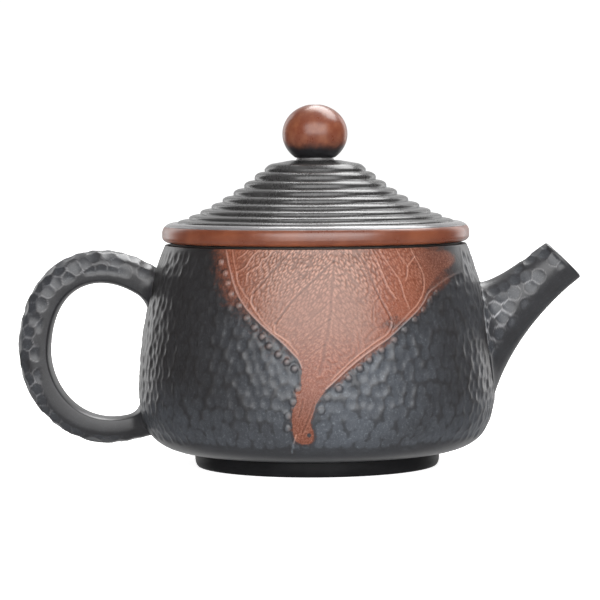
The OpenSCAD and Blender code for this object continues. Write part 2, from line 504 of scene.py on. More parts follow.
@dataclass(frozen=True)
class HammeredClay:
    """Kiln-darkened clay of the pot, with a brown leaf print where the attributes say so; they also paint
    light and shade on it: painted highlights on ridges, raised lines, beads and the leaf's middle, painted
    shade in grooves, and a blue-grey frosting that is partly painted light.
    """

    name: str = "hammered_clay"
    warm_black: Colour = (0.012, 0.0105, 0.0105)
    slate: Colour = (0.045, 0.051, 0.061)
    # Fleck colour, also the painted highlight on raised lines and beads outside the leaf.
    pale_fleck_and_highlight: Colour = (0.13, 0.145, 0.16)
    orange: Colour = (0.148, 0.037, 0.016)
    salmon: Colour = (0.17, 0.08, 0.055)
    umber: Colour = (0.062, 0.015, 0.007)
    # Leaf flecks, and the painted highlight and painted shade of its raised lines and grooves.
    vein_highlight_and_fleck: Colour = (0.37, 0.2, 0.145)
    vein_shade_and_fleck: Colour = (0.035, 0.014, 0.009)
    # Painted highlight along the hammer ridges.
    sheen_grey: Colour = (0.24, 0.24, 0.25)
    roughness: float = 0.36
    grain: float = 0.35
    grain_depth: float = 0.012

    def material(self) -> bpy.types.Material:
        """Builds the material."""
        paint = Paint(self.name)
        frost_and_light = paint.attribute("frost_and_light")
        hollow = paint.attribute("hollow")
        brown = paint.attribute("brown")
        pale_and_sheen = paint.attribute("pale_and_sheen")
        relief_light_and_shade = paint.attribute("relief_light_and_shade")
        worn_and_sheen = paint.attribute("worn_and_sheen")
        cloud = paint.noise(6.0, 3.0, 0.6)
        fine = paint.noise(0.55, 3.0, 0.75)
        grain = paint.noise(self.grain, 2.0, 0.8)
        pad = hollow.eased(0.22, 0.62)
        # Painted light: the blue-grey frosting is partly painted light, lighter low on the wall and on the
        # front.
        frosted_and_lit = (frost_and_light * (0.48 + 0.52 * pad) * (0.4 + 1.2 * cloud)).held()
        dark = paint.mix(frosted_and_lit, self.warm_black, self.slate)
        fleck = (fine.eased(0.54, 0.7) * (0.1 + 0.9 * frosted_and_lit) * (0.25 + 0.35 * pad)).held()
        dark = paint.mix(fleck, dark, self.pale_fleck_and_highlight)
        dark = paint.mix((grain.eased(0.56, 0.74) * (0.1 + 0.25 * frosted_and_lit)).held(), dark, self.pale_fleck_and_highlight)
        # Painted highlight: light grey along the hammer ridges, where they catch the light; the same ridges
        # are made smoother below.
        ridge = paint.attribute("ridge") * worn_and_sheen
        dark = paint.mix((ridge * (2.6 * cloud - 0.85)).held(), dark, self.sheen_grey)
        # The salmon middle of the leaf is partly a painted highlight.
        rust = paint.mix((pale_and_sheen + 0.4 * (cloud - 0.5)).held(), self.orange, self.salmon)
        rust = paint.mix((0.0 - pale_and_sheen).held(), rust, self.umber)
        rust = paint.mix((grain.eased(0.42, 0.66) * 0.25).held(), rust, self.vein_highlight_and_fleck)
        rust = paint.mix((fine.eased(0.5, 0.3) * 0.25).held(), rust, self.vein_shade_and_fleck)
        mottle = paint.noise(1.3, 4.0, 0.8) - 0.5
        ragged = (brown + 1.1 * mottle * (1.0 - brown.eased(0.75, 1.0))).eased(0.32, 0.7)
        edge = paint.mix(0.6, rust, self.warm_black)
        tint = paint.mix(brown.eased(0.35, 0.8).held(), edge, rust)
        colour = paint.mix(ragged, dark, tint)
        # Painted shade darkens the leaf's grooves, the lips beside its raised lines and the moats round its
        # beads; painted highlights lighten its raised lines, net pads and bead tops.
        colour = paint.mix((0.0 - relief_light_and_shade).held(), colour, self.vein_shade_and_fleck)
        raised = paint.mix(brown, self.pale_fleck_and_highlight, self.vein_highlight_and_fleck)
        colour = paint.mix(relief_light_and_shade.held(), colour, raised)
        normal = paint.bump(grain, self.grain_depth)
        normal = paint.bump(fine, self.grain_depth * 1.2, normal)
        rough = (self.roughness + 0.14 * (cloud - 0.5) + 0.1 * (fine - 0.5) - 0.1 * ridge).held()
        return paint.finish(Base_Color=colour, Roughness=rough, Normal=normal, Specular_IOR_Level=0.55)


@dataclass(frozen=True)
class TurnedClay:
    """Satin clay of the turned pieces, with fine wheel lines and kiln clouds.

    Outside a set radius, in millimetres, the clay carries a paler painted highlight and is smoother.
    """

    name: str
    base: Colour
    cloud: Colour
    fleck: Colour
    roughness: float = 0.35
    flecks: float = 0.25
    wheel_lines: float = 0.006
    gloss: float = 0.6
    highlight_r: float = 99.0
    painted_highlight: Colour = (0.13, 0.125, 0.128)

    def material(self) -> bpy.types.Material:
        """Builds the material."""
        paint = Paint(self.name)
        cloud = paint.noise(9.0, 3.0, 0.6)
        fine = paint.noise(0.5, 3.0, 0.75)
        flat = paint.scaled(paint.place, (1.0, 1.0, 0.0))
        radius = paint.term("ShaderNodeVectorMath", {"operation": "LENGTH"}, {"Vector": flat},
                            output="Value")
        height = paint.term("ShaderNodeSeparateXYZ", inputs={"Vector": paint.place}, output="Z")
        track = paint.term("ShaderNodeCombineXYZ", inputs={"X": radius, "Y": height, "Z": 0.02 * cloud})
        lines = paint.noise(0.35, 2.0, 0.6, track)
        colour = paint.mix(cloud.eased(0.35, 0.7), self.base, self.cloud)
        colour = paint.mix((fine.eased(0.58, 0.72) * self.flecks).held(), colour, self.fleck)
        # Painted highlight: outside the radius the clay is painted paler; the same band is made smoother
        # below.
        sheen_band = radius.eased(self.highlight_r - 0.3, self.highlight_r + 0.4) * (0.5 + 0.8 * cloud)
        colour = paint.mix(sheen_band.held(), colour, self.painted_highlight)
        normal = paint.bump(lines, self.wheel_lines)
        normal = paint.bump(fine, 0.008, normal)
        rough = (self.roughness + 0.16 * (cloud - 0.5) + 0.12 * (fine - 0.5) - 0.1 * sheen_band).held()
        return paint.finish(Base_Color=colour, Roughness=rough, Normal=normal,
                            Specular_IOR_Level=self.gloss)


@dataclass(frozen=True)
class PolishedBall:
    """Burnished brown clay of the knob, blackened by the kiln from below."""

    name: str = "polished_ball"
    brown: Colour = (0.125, 0.033, 0.016)
    tan: Colour = (0.17, 0.056, 0.027)
    speck: Colour = (0.32, 0.2, 0.13)
    black: Colour = (0.012, 0.012, 0.013)
    fade_low: float = 84.0
    fade_high: float = 86.8

    def material(self) -> bpy.types.Material:
        """Builds the material."""
        paint = Paint(self.name)
        cloud = paint.noise(3.5, 4.0, 0.65)
        fine = paint.noise(0.4, 3.0, 0.7)
        height = paint.term("ShaderNodeSeparateXYZ", inputs={"Vector": paint.place}, output="Z")
        fired = (height + 2.2 * (cloud - 0.5)).eased(self.fade_low, self.fade_high)
        brown = paint.mix(cloud.eased(0.4, 0.7), self.brown, self.tan)
        brown = paint.mix((fine.eased(0.6, 0.75) * 0.3).held(), brown, self.speck)
        colour = paint.mix(fired, self.black, brown)
        rough = (0.3 + 0.12 * (cloud - 0.5) + 0.1 * (fine - 0.5)).held()
        normal = paint.bump(fine, 0.006)
        return paint.finish(Base_Color=colour, Roughness=rough, Normal=normal, Specular_IOR_Level=0.5,
                            Coat_Weight=0.05, Coat_Roughness=0.12)


@dataclass(frozen=True)
class StudioWhite:
    """Plain matte white of the table."""

    name: str = "studio_white"
    white: Colour = (0.9, 0.9, 0.9)
    shade: Colour = (0.88, 0.88, 0.88)
    glow: Colour = (1.0, 1.0, 1.0)

    def material(self) -> bpy.types.Material:
        """Builds the material."""
        paint = Paint(self.name)
        cloud = paint.noise(80.0, 2.0, 0.5)
        colour = paint.mix(cloud, self.white, self.shade)
        return paint.finish(Base_Color=colour, Roughness=0.9, Specular_IOR_Level=0.1,
                            Emission_Color=self.glow, Emission_Strength=0.88)


# The lid clay carries its painted highlight on the plate's shoulder, outside 36.9 mm.
LID_CLAY = TurnedClay(
    "lid_clay", base=(0.022, 0.021, 0.021), cloud=(0.036, 0.035, 0.035), fleck=(0.16, 0.16, 0.16),
    roughness=0.28, flecks=0.6, highlight_r=36.9)
# The neck's clay is a lighter copy of the lid clay: painted light that brightens the neck under the knob.
PAINTED_LIT_NECK_CLAY = replace(LID_CLAY, name="painted_lit_neck_clay", base=(0.1, 0.098, 0.098), cloud=(0.13, 0.128, 0.128))
RIM_CLAY = TurnedClay(
    "rim_clay", base=(0.105, 0.026, 0.011), cloud=(0.15, 0.042, 0.017), fleck=(0.25, 0.13, 0.09),
    roughness=0.31, flecks=0.3, gloss=0.8)
FOOT_CLAY = TurnedClay(
    "foot_clay", base=(0.006, 0.006, 0.007), cloud=(0.009, 0.009, 0.01), fleck=(0.03, 0.03, 0.035),
    roughness=0.5, flecks=0.2, gloss=0.2)
INNER_CLAY = TurnedClay(
    "inner_clay", base=(0.03, 0.026, 0.024), cloud=(0.042, 0.036, 0.033), fleck=(0.1, 0.09, 0.08),
    roughness=0.6, flecks=0.3, wheel_lines=0.02)


# ---------------------------------------------------------------- hammer marks


class Placing(Enum):
    """How the hammer's blows lie on a piece."""

    COURSES = "staggered rows round the pot"
    SCATTERED = "evenly spread over a surface"


@dataclass
class HammerMarks:
    """Shallow bowls beaten into a surface, which meet in sharp ridges.

    The piece's attribute "hammer" says where the hammer reaches, from 0 to 1, and its attribute
    "relief" how far the surface is raised, in metres. Beating leaves two more, from 0 to 1:
    "hollow" is deepest in the middle of a mark, and "ridge" is highest where two marks meet.
    """

    placing: Placing
    width: float
    squash: float = 1.0
    bowl_r: float = 2.2
    depth: float = 0.28
    seed: int = 4
    low_z: float = 0.0
    high_z: float = 0.0
    around_r: float = 50.0
    jitter: float = 0.3

    def beat(self, piece: bpy.types.Object, material: bpy.types.Material) -> None:
        """Beats the marks into a piece and leaves it a plain mesh.

        Args:
            piece: The piece, whose mesh is replaced.
            material: The finish that it takes.
        """
        group = bpy.data.node_groups.new("hammer_marks", "GeometryNodeTree")
        sizes = {"Width": self.width * MM, "Squash": self.squash, "Bowl": self.bowl_r * MM,
                 "Depth": self.depth * MM}
        group.interface.new_socket("Geometry", in_out="INPUT", socket_type="NodeSocketGeometry")
        keys = add_sizes(group, sizes)
        group.interface.new_socket("Geometry", in_out="OUTPUT", socket_type="NodeSocketGeometry")
        self._weave(Weaver(group), material)
        run_tree(piece, group, keys, sizes)
        self._find_ridges(piece)

    @staticmethod
    def _find_ridges(piece: bpy.types.Object) -> None:
        """Stores as the attribute "ridge" where neighbouring marks meet, from 0 to 1."""
        mesh = piece.data
        hollow = np.empty(len(mesh.vertices), np.float32)
        mesh.attributes["hollow"].data.foreach_get("value", hollow)
        ends = np.empty(2 * len(mesh.edges), np.int32)
        mesh.edges.foreach_get("vertices", ends)
        a, b = ends.reshape(-1, 2).T
        around = np.bincount(a, hollow[b], len(hollow)) + np.bincount(b, hollow[a], len(hollow))
        rise = around / np.bincount(ends, minlength=len(hollow)) - hollow
        write_values(piece, "ridge", smooth(0.01, 0.07, rise))

    def _weave(self, tree: Weaver, material: bpy.types.Material) -> None:
        """Fills the tree: blow centres, distance to the nearest, and the displacement."""
        start = tree.node("NodeGroupInput")
        shape = Term(tree.tree, start.outputs["Geometry"])
        width, squash, bowl, depth = (
            Term(tree.tree, start.outputs[name]) for name in ("Width", "Squash", "Bowl", "Depth"))
        stretch = tree.term("ShaderNodeCombineXYZ", inputs={"X": 1.0, "Y": 1.0, "Z": squash})
        place = tree.term("GeometryNodeInputPosition")
        flattened = tree.term("ShaderNodeVectorMath", {"operation": "MULTIPLY"}, {0: place, 1: stretch})
        reach = tree.term("GeometryNodeInputNamedAttribute", {"data_type": "FLOAT"}, {"Name": "hammer"})
        if self.placing is Placing.COURSES:
            blows = self._courses(tree, shape)
            blows = tree.term("GeometryNodeSetPosition", inputs={"Geometry": blows, "Position": flattened})
        else:
            flat = tree.term("GeometryNodeSetPosition", inputs={"Geometry": shape, "Position": flattened})
            struck = reach.math("GREATER_THAN", reach, 0.3)
            blows = tree.term("GeometryNodeDistributePointsOnFaces", {"distribute_method": "POISSON"}, {
                "Mesh": flat, "Selection": struck, "Distance Min": width, "Density Max": 4e5,
                "Density Factor": 1.0, "Seed": self.seed}, output="Points")
        near = tree.term("GeometryNodeProximity", {"target_element": "POINTS"},
                         {"Geometry": blows, "Sample Position": flattened}, output="Distance")
        nearest = tree.term("GeometryNodeSampleNearest", {"domain": "POINT"},
                            {"Geometry": blows, "Sample Position": flattened})
        force = tree.term("FunctionNodeRandomValue", {"data_type": "FLOAT"},
                          {"Min": 0.55, "Max": 1.1, "ID": nearest, "Seed": self.seed})
        hollow = (1.0 - (near / bowl) ** 2.0).held()
        raised = tree.term("GeometryNodeInputNamedAttribute", {"data_type": "FLOAT"}, {"Name": "relief"})
        height = raised - hollow * force * depth * reach
        normal = tree.term("GeometryNodeInputNormal")
        move = tree.term("ShaderNodeVectorMath", {"operation": "SCALE"},
                         {"Vector": normal, "Scale": height})
        moved = tree.term("GeometryNodeSetPosition", inputs={"Geometry": shape, "Offset": move})
        kept = tree.term("GeometryNodeStoreNamedAttribute", {"data_type": "FLOAT", "domain": "POINT"},
                         {"Geometry": moved, "Name": "hollow", "Value": hollow * reach})
        real = tree.term("GeometryNodeRealizeInstances", inputs={"Geometry": kept})
        dressed = tree.term("GeometryNodeSetMaterial", inputs={"Geometry": real, "Material": material})
        tree.node("NodeGroupOutput", inputs={"Geometry": dressed})

    def _courses(self, tree: Weaver, shape: Term) -> Term:
        """Blow centres in staggered rows, jittered and laid on the surface."""
        columns = round(2 * math.pi * (self.around_r - 2.5) / self.width)
        rows = round((self.high_z - self.low_z) / (self.width * 0.88 / self.squash))
        step = (self.high_z - self.low_z) / (rows - 1) * MM
        turn = 2 * math.pi / columns
        grid = tree.term("GeometryNodeMeshGrid", inputs={
            "Size X": turn * (columns - 1), "Size Y": step * (rows - 1),
            "Vertices X": columns, "Vertices Y": rows})
        start = tree.term("GeometryNodeInputPosition")
        place = tree.node("ShaderNodeSeparateXYZ", inputs={"Vector": start})
        across, up = Term(tree.tree, place.outputs[0]), Term(tree.tree, place.outputs[1])
        low, high = (-self.jitter,) * 3, (self.jitter,) * 3
        chance = tree.term("FunctionNodeRandomValue", {"data_type": "FLOAT_VECTOR"},
                           {"Min": low, "Max": high, "Seed": self.seed})
        shake = tree.node("ShaderNodeSeparateXYZ", inputs={"Vector": chance})
        shake_x, shake_y = Term(tree.tree, shake.outputs[0]), Term(tree.tree, shake.outputs[1])
        row = (up / step).math("ROUND", up / step + 0.5 * (rows - 1))
        angle = across + turn * (0.5 * (row % 2.0) + shake_x)
        around = self.around_r * MM
        middle = 0.5 * (self.low_z + self.high_z) * MM
        spot = tree.term("ShaderNodeCombineXYZ", inputs={
            "X": around * angle.math("SINE", angle), "Y": (0.0 - around) * angle.math("COSINE", angle),
            "Z": up + middle + step * shake_y})
        laid = tree.term("GeometryNodeProximity", {"target_element": "FACES"},
                         {"Geometry": shape, "Sample Position": spot}, output="Position")
        return tree.term("GeometryNodeSetPosition", inputs={"Geometry": grid, "Position": laid})


def add_sizes(group: bpy.types.NodeTree, names: Iterable[str]) -> dict[str, str]:
    """Gives a geometry tree an input for each size, and returns each one's key on a modifier."""
    made = {}
    for name in names:
        socket = group.interface.new_socket(name, in_out="INPUT", socket_type="NodeSocketFloat")
        made[name] = socket.identifier
    return made


def run_tree(piece: bpy.types.Object, group: bpy.types.NodeTree, keys: dict[str, str],
             sizes: dict[str, float]) -> None:
    """Runs a geometry tree on a piece and leaves it a plain mesh.

    Args:
        piece: The piece, whose mesh is replaced.
        group: The tree.
        keys: The modifier's key for each of the tree's sizes.
        sizes: The sizes.
    """
    modifier = piece.modifiers.new("shape", "NODES")
    modifier.node_group = group
    for name, value in sizes.items():
        modifier[keys[name]] = value
    freeze(piece)


def freeze(piece: bpy.types.Object) -> None:
    """Turns a piece's modifiers into a plain mesh and removes them."""
    graph = bpy.context.evaluated_depsgraph_get()
    graph.update()
    made = bpy.data.meshes.new_from_object(piece.evaluated_get(graph), preserve_all_data_layers=True,
                                           depsgraph=graph)
    piece.modifiers.clear()
    old = piece.data
    piece.data = made
    made.name = old.name
    bpy.data.meshes.remove(old)
    made.shade_smooth()


# ---------------------------------------------------------------- the leaf print


class Vein(Enum):
    """How a line of the leaf stands in the clay, as width and height in mm and its painted shading: painted
    shade where negative, painted highlight where positive.
    """

    MIDRIB = (0.36, -0.06, -0.36)
    LATERAL = (0.25, -0.085, -0.6)
    BRANCH = (0.2, -0.06, -0.4)
    RIDGE = (0.19, 0.07, 0.5)
    MARGIN = (0.19, 0.1, 0.68)
    LOOP = (0.19, 0.09, 0.55)


@dataclass
class LeafPrint:
    """A leaf hung stalk-up on the pot's front, as (distance round the wall, height) in mm.

    Distances round the wall are taken at a radius of reach_r, from the front towards the spout.
    """

    reach_r: float = 46.0
    left_margin: list[Point] = field(default_factory=lambda: [
        (-28.7, 60.2), (-26.5, 56.0), (-25.0, 53.3), (-23.7, 50.8), (-22.1, 48.1), (-20.2, 45.7),
        (-18.2, 43.6), (-13.9, 39.9), (-9.3, 36.3), (-6.2, 33.3), (-4.7, 31.6), (-3.8, 29.5)])
    tail: list[Point] = field(default_factory=lambda: [
        (-3.8, 29.5), (-4.0, 27.0), (-4.1, 24.0), (-5.4, 23.4), (-5.1, 21.1), (-6.2, 18.6),
        (-6.3, 15.0), (-5.9, 11.4), (-4.7, 10.3), (-3.2, 10.0), (-1.4, 10.7), (-1.1, 13.0),
        (-1.8, 15.6), (-1.1, 18.2), (-0.4, 20.4), (1.0, 22.6), (2.0, 24.2)])
    right_margin: list[Point] = field(default_factory=lambda: [
        (2.0, 24.2), (4.4, 26.4), (8.4, 30.0), (13.2, 33.5), (18.7, 36.8), (23.3, 40.1), (28.0, 43.4),
        (30.6, 45.6), (32.5, 47.6), (36.0, 49.2), (40.4, 50.7), (45.5, 51.8), (51.0, 53.2),
        (56.5, 60.2)])
    midrib: list[Point] = field(default_factory=lambda: [
        (5.6, 60.2), (4.9, 55.8), (4.4, 52.1), (3.8, 48.3), (3.6, 44.3), (2.7, 38.9), (2.1, 35.8),
        (1.3, 31.5), (0.4, 28.0)])
    drip_line: list[Point] = field(default_factory=lambda: [
        (-5.4, 12.6), (-6.3, 10.0), (-7.0, 7.6)])
    laterals: list[list[Point]] = field(default_factory=lambda: [
        [(-6.4, 60.2), (-11.6, 54.6), (-15.4, 50.4), (-17.7, 47.9)],
        [(5.0, 56.4), (2.0, 53.9), (-1.0, 51.4), (-3.9, 48.9), (-7.1, 45.6), (-9.2, 42.8),
         (-11.0, 40.4)],
        [(10.8, 60.2), (13.8, 55.4), (15.3, 51.3), (16.8, 47.2), (18.7, 43.4), (19.7, 41.1)]])
    branches: list[list[Point]] = field(default_factory=lambda: [
        [(5.4, 59.2), (1.8, 58.8), (-1.6, 57.2), (-4.8, 55.3), (-7.0, 52.4), (-8.9, 51.0), (-9.7, 49.5),
         (-10.1, 48.0)],
        [(-11.6, 54.5), (-10.1, 52.8), (-9.2, 51.2)],
        [(5.7, 57.8), (8.6, 56.6), (10.7, 54.6), (11.8, 52.5)],
        [(5.2, 55.2), (8.3, 53.2), (10.4, 51.1), (12.4, 49.1)],
        [(4.7, 50.5), (8.5, 47.1), (10.9, 44.8)],
        [(3.7, 43.8), (5.6, 41.7), (7.6, 39.4), (9.4, 37.2)],
        [(3.7, 46.2), (0.3, 43.5), (-2.7, 41.1)],
        [(3.4, 41.8), (0.0, 39.4), (-3.0, 37.0)],
        [(16.9, 47.0), (15.3, 45.3), (14.7, 43.6), (14.6, 41.3)],
        [(2.5, 36.6), (5.0, 34.3), (7.4, 32.4)],
        [(2.0, 35.4), (-1.0, 33.4), (-2.8, 31.8)],
        [(-3.6, 21.5), (-4.0, 19.4), (-4.6, 17.2)],
        [(-0.9, 20.5), (-1.7, 18.2), (-2.8, 15.6), (-3.8, 13.2)]])
    ridges: list[list[Point]] = field(default_factory=lambda: [
        [(18.1, 60.2), (21.4, 54.6), (23.7, 51.1), (24.4, 47.3), (25.5, 43.8)],
        [(15.2, 60.2), (17.0, 57.6), (18.4, 53.8), (19.8, 49.8), (21.8, 46.4)],
        [(23.8, 60.2), (25.6, 56.6), (27.0, 54.5), (26.5, 52.5), (25.6, 51.0)],
        [(30.4, 56.9), (27.0, 54.5)],
        [(-15.4, 60.0), (-19.0, 57.6), (-20.1, 55.5), (-21.4, 54.2), (-23.1, 53.4)],
        [(-11.8, 60.0), (-14.4, 57.3), (-15.9, 56.5), (-16.4, 55.2), (-18.0, 54.3), (-19.7, 53.2),
         (-19.8, 51.5)],
        [(-19.6, 60.0), (-21.8, 57.9), (-23.7, 56.9)]])
    loops: list[list[Point]] = field(default_factory=lambda: [
        [(-26.3, 60.2), (-24.9, 56.6), (-23.6, 54.2), (-22.4, 51.0), (-20.7, 48.8), (-18.8, 46.7),
         (-16.4, 44.0)],
        [(-17.7, 47.9), (-17.9, 46.4), (-17.2, 44.6), (-15.6, 42.8), (-14.3, 41.2), (-12.6, 39.7),
         (-11.0, 38.4), (-8.4, 36.6), (-6.2, 34.6), (-4.8, 32.8)],
        [(-11.0, 40.4), (-11.0, 38.6), (-9.2, 37.4), (-6.8, 35.8)],
        [(29.2, 60.2), (30.5, 56.4), (31.5, 54.1), (32.0, 51.3), (31.0, 48.2), (29.3, 46.0),
         (27.6, 44.4), (25.4, 42.9), (23.0, 41.0), (19.8, 38.5)],
        [(19.7, 41.1), (19.7, 39.7), (18.1, 37.6), (15.3, 36.0), (12.1, 33.9), (9.1, 31.7), (5.8, 28.8),
         (3.4, 26.4)]])
    bead_rows: list[list[Point]] = field(default_factory=lambda: [
        [(-29.1, 55.9), (-26.8, 53.1), (-25.5, 50.6), (-24.0, 47.9), (-21.3, 45.0), (-18.7, 41.9),
         (-16.4, 39.6), (-14.1, 37.3), (-12.2, 35.0), (-9.8, 32.9), (-7.6, 31.0), (-5.7, 29.4)],
        [(-4.8, 24.1), (-6.0, 20.9), (-7.3, 17.3), (-7.5, 14.2)],
        [(35.4, 47.3), (32.9, 45.6), (30.0, 43.3), (26.7, 41.0), (23.3, 38.6), (20.1, 36.1),
         (16.4, 33.7), (13.0, 31.4), (10.5, 29.3), (7.6, 27.0), (5.2, 24.3), (2.3, 22.0), (0.8, 18.7)]])
    bead_r: float = 0.8
    bead_height: float = 0.26
    net_seed: int = 9
    net_cell: Point = (1.3, 0.9)
    net_left: float = 32.0
    net_size: tuple[int, int] = (76, 132)
    net_depth: float = 0.085

    def outline(self) -> np.ndarray:
        """The leaf's closed edge."""
        return np.vstack([through(self.left_margin), through(self.tail), through(self.right_margin)])

    def near(self, where: np.ndarray) -> np.ndarray:
        """Signed distance from the edge, negative inside."""
        edge = self.outline()
        closed = np.vstack([edge, edge[:1]])
        gap = distance_to(closed, where)
        return np.where(inside(edge, where), -gap, gap)

    def lines(self) -> list[tuple[Vein, np.ndarray]]:
        """Every line of the leaf with its kind."""
        drawn = [(Vein.MIDRIB, through(self.midrib)), (Vein.MARGIN, through(self.left_margin)),
                 (Vein.MARGIN, through(self.right_margin)), (Vein.LOOP, through(self.drip_line))]
        drawn += [(Vein.LATERAL, through(p)) for p in self.laterals]
        drawn += [(Vein.BRANCH, through(p)) for p in self.branches]
        drawn += [(Vein.RIDGE, through(p)) for p in self.ridges]
        drawn += [(Vein.LOOP, through(p)) for p in self.loops]
        return drawn

    def beads(self) -> np.ndarray:
        """Centres of the small beads outside the edge."""
        return np.array([centre for row in self.bead_rows for centre in row])

    def net(self, where: np.ndarray) -> np.ndarray:
        """Height of the fine net of veinlets, from 0 in its grooves to 1 on its pads."""
        mid = np.interp(-where[:, 1], [-z for _, z in self.midrib], [u for u, _ in self.midrib])
        slant = 0.75 * np.abs(where[:, 0] - mid)
        across = (where[:, 0] + self.net_left) / self.net_cell[0]
        up = (where[:, 1] + slant) / self.net_cell[1]
        seeds = scatter(self.net_seed, *self.net_size, 0.46)
        return smooth(0.0, 0.22, cell_edges(seeds, np.stack([across, up], axis=1)))

    def press(self, where: np.ndarray) -> dict[str, np.ndarray]:
        """Presses the leaf into a surface.

        Args:
            where: Places as (distance round the wall, height).

        Returns:
            For each place its relief in mm, and its shares of brown, salmon with a painted highlight,
            painted light and shade on the relief, and leaf.
        """
        edge = self.near(where)
        u, z = where.T
        leaf = smooth(0.25, -0.35, edge)
        netted = leaf * (0.25 + 0.75 * smooth(22.0, 31.0, z)) * (1.0 - 0.5 * smooth(12.0, 24.0, u))
        netted *= 1.0 - 0.8 * smooth(31.0, 34.0, u)
        relief = -0.1 * smooth(0.8, -0.8, edge)
        painted_light_shade = np.zeros(len(where))
        lined = np.zeros(len(where))
        dim = (1.0 - 0.7 * smooth(30.0, 38.0, u)) * smooth(52.0, 44.0, u)
        for kind, path in self.lines():
            width, height, shade = kind.value
            gap = distance_to(path, where)
            body = np.exp(-((gap / width) ** 2)) * dim
            lips = np.exp(-(((gap - 2.2 * width) / (0.8 * width)) ** 2)) * dim
            relief += height * body - 0.5 * height * lips
            # Painted shade in the grooves and painted highlight on the raised lines, with the opposite on
            # the lips beside them.
            painted_light_shade += shade * body - (0.45 if shade < 0 else 0.3) * shade * lips
            np.maximum(lined, body, out=lined)
        pads = self.net(where)
        netted *= 1.0 - lined
        top = smooth(43.0, 55.0, z) * smooth(-26.0, -10.0, u)
        relief += netted * self.net_depth * (1.0 + 0.9 * top) * (pads - 1.0)
        # Painted highlight on the net's pads, strongest high on the leaf, and painted shade in its grooves.
        painted_light_shade += netted * ((0.12 + 0.4 * top) * smooth(0.6, 1.0, pads) - (0.36 + 0.2 * top) * (1.0 - pads))
        bead = distance_to_points(self.beads(), where) / self.bead_r
        dome = np.sqrt(np.clip(1.0 - bead**2, 0.0, 1.0))
        moat = np.exp(-(((bead - 1.25) / 0.22) ** 2))
        fade = 1.0 - 0.8 * smooth(18.0, 34.0, u)
        relief += (self.bead_height * dome - 0.1 * moat) * (0.4 + 0.6 * fade)
        # Painted highlight on the bead tops and painted shade in their moats.
        painted_light_shade += (0.34 * dome - 0.06 * moat) * fade
        return {"relief": relief, "brown": self._brown(where, edge), "pale_and_sheen": self._pale_and_sheen(where),
                "relief_light_and_shade": np.clip(painted_light_shade, -1.0, 1.0),
                "quiet": np.maximum(smooth(1.3, 0.1, edge), smooth(1.7, 1.1, bead))}

    @staticmethod
    def _brown(where: np.ndarray, edge: np.ndarray) -> np.ndarray:
        """Share of brown: the leaf, a mottled bleed past its left edge, and ash at its lower right edge."""
        u, z = where.T
        leaf = smooth(0.6, -0.3, edge) * smooth(0.6, -0.3 - 4.0 * smooth(26.0, 42.0, u), edge)
        bleed = smooth(12.0, 0.3, edge) * (0.42 + 0.2 * smooth(40.0, 50.0, z)) * smooth(4.0, -3.0, u)
        bleed *= smooth(22.0, 34.0, z)
        right = smooth(3.8, 0.3, edge) * 0.6 * smooth(0.0, 6.0, u) * smooth(50.0, 40.0, u)
        tail = smooth(1.6, 0.2, edge) * 0.45
        bleed = np.maximum(bleed, tail)
        ash = np.exp(-(((u - 21.0) / 6.0) ** 2 + ((z - 40.0) / 3.0) ** 2))
        far = smooth(43.0, 55.0, u) * 0.9
        spot = np.exp(-(((u + 2.2) / 0.5) ** 2 + ((z - 12.4) / 0.55) ** 2))
        return np.clip(np.maximum(leaf, np.maximum(bleed, right)) - 0.46 * ash - far - 1.2 * spot, 0.0, 1.0)

    @staticmethod
    def _pale_and_sheen(where: np.ndarray) -> np.ndarray:
        """Share of light salmon, partly a painted highlight: strong in the leaf's middle and rising towards
        its top, below zero where the clay is darkest.
        """
        u, z = where.T
        middle = smooth(-27.0, -9.0, u) * smooth(20.0, 10.0, u) * smooth(27.0, 43.0, z)
        # The rise towards the top is a painted highlight.
        salmon = middle * (0.8 + 0.3 * smooth(44.0, 56.0, z))
        return salmon - 0.95 * smooth(23.0, 39.0, u) - 0.4 * smooth(28.0, 19.0, z)


def distance_to_points(centres: np.ndarray, where: np.ndarray) -> np.ndarray:
    """Distance from each place to the nearest centre."""
    best = np.full(len(where), np.inf)
    for centre in centres:
        gap = where - centre
        np.minimum(best, np.einsum("ij,ij->i", gap, gap), out=best)
    return np.sqrt(best)


# ---------------------------------------------------------------- the pot


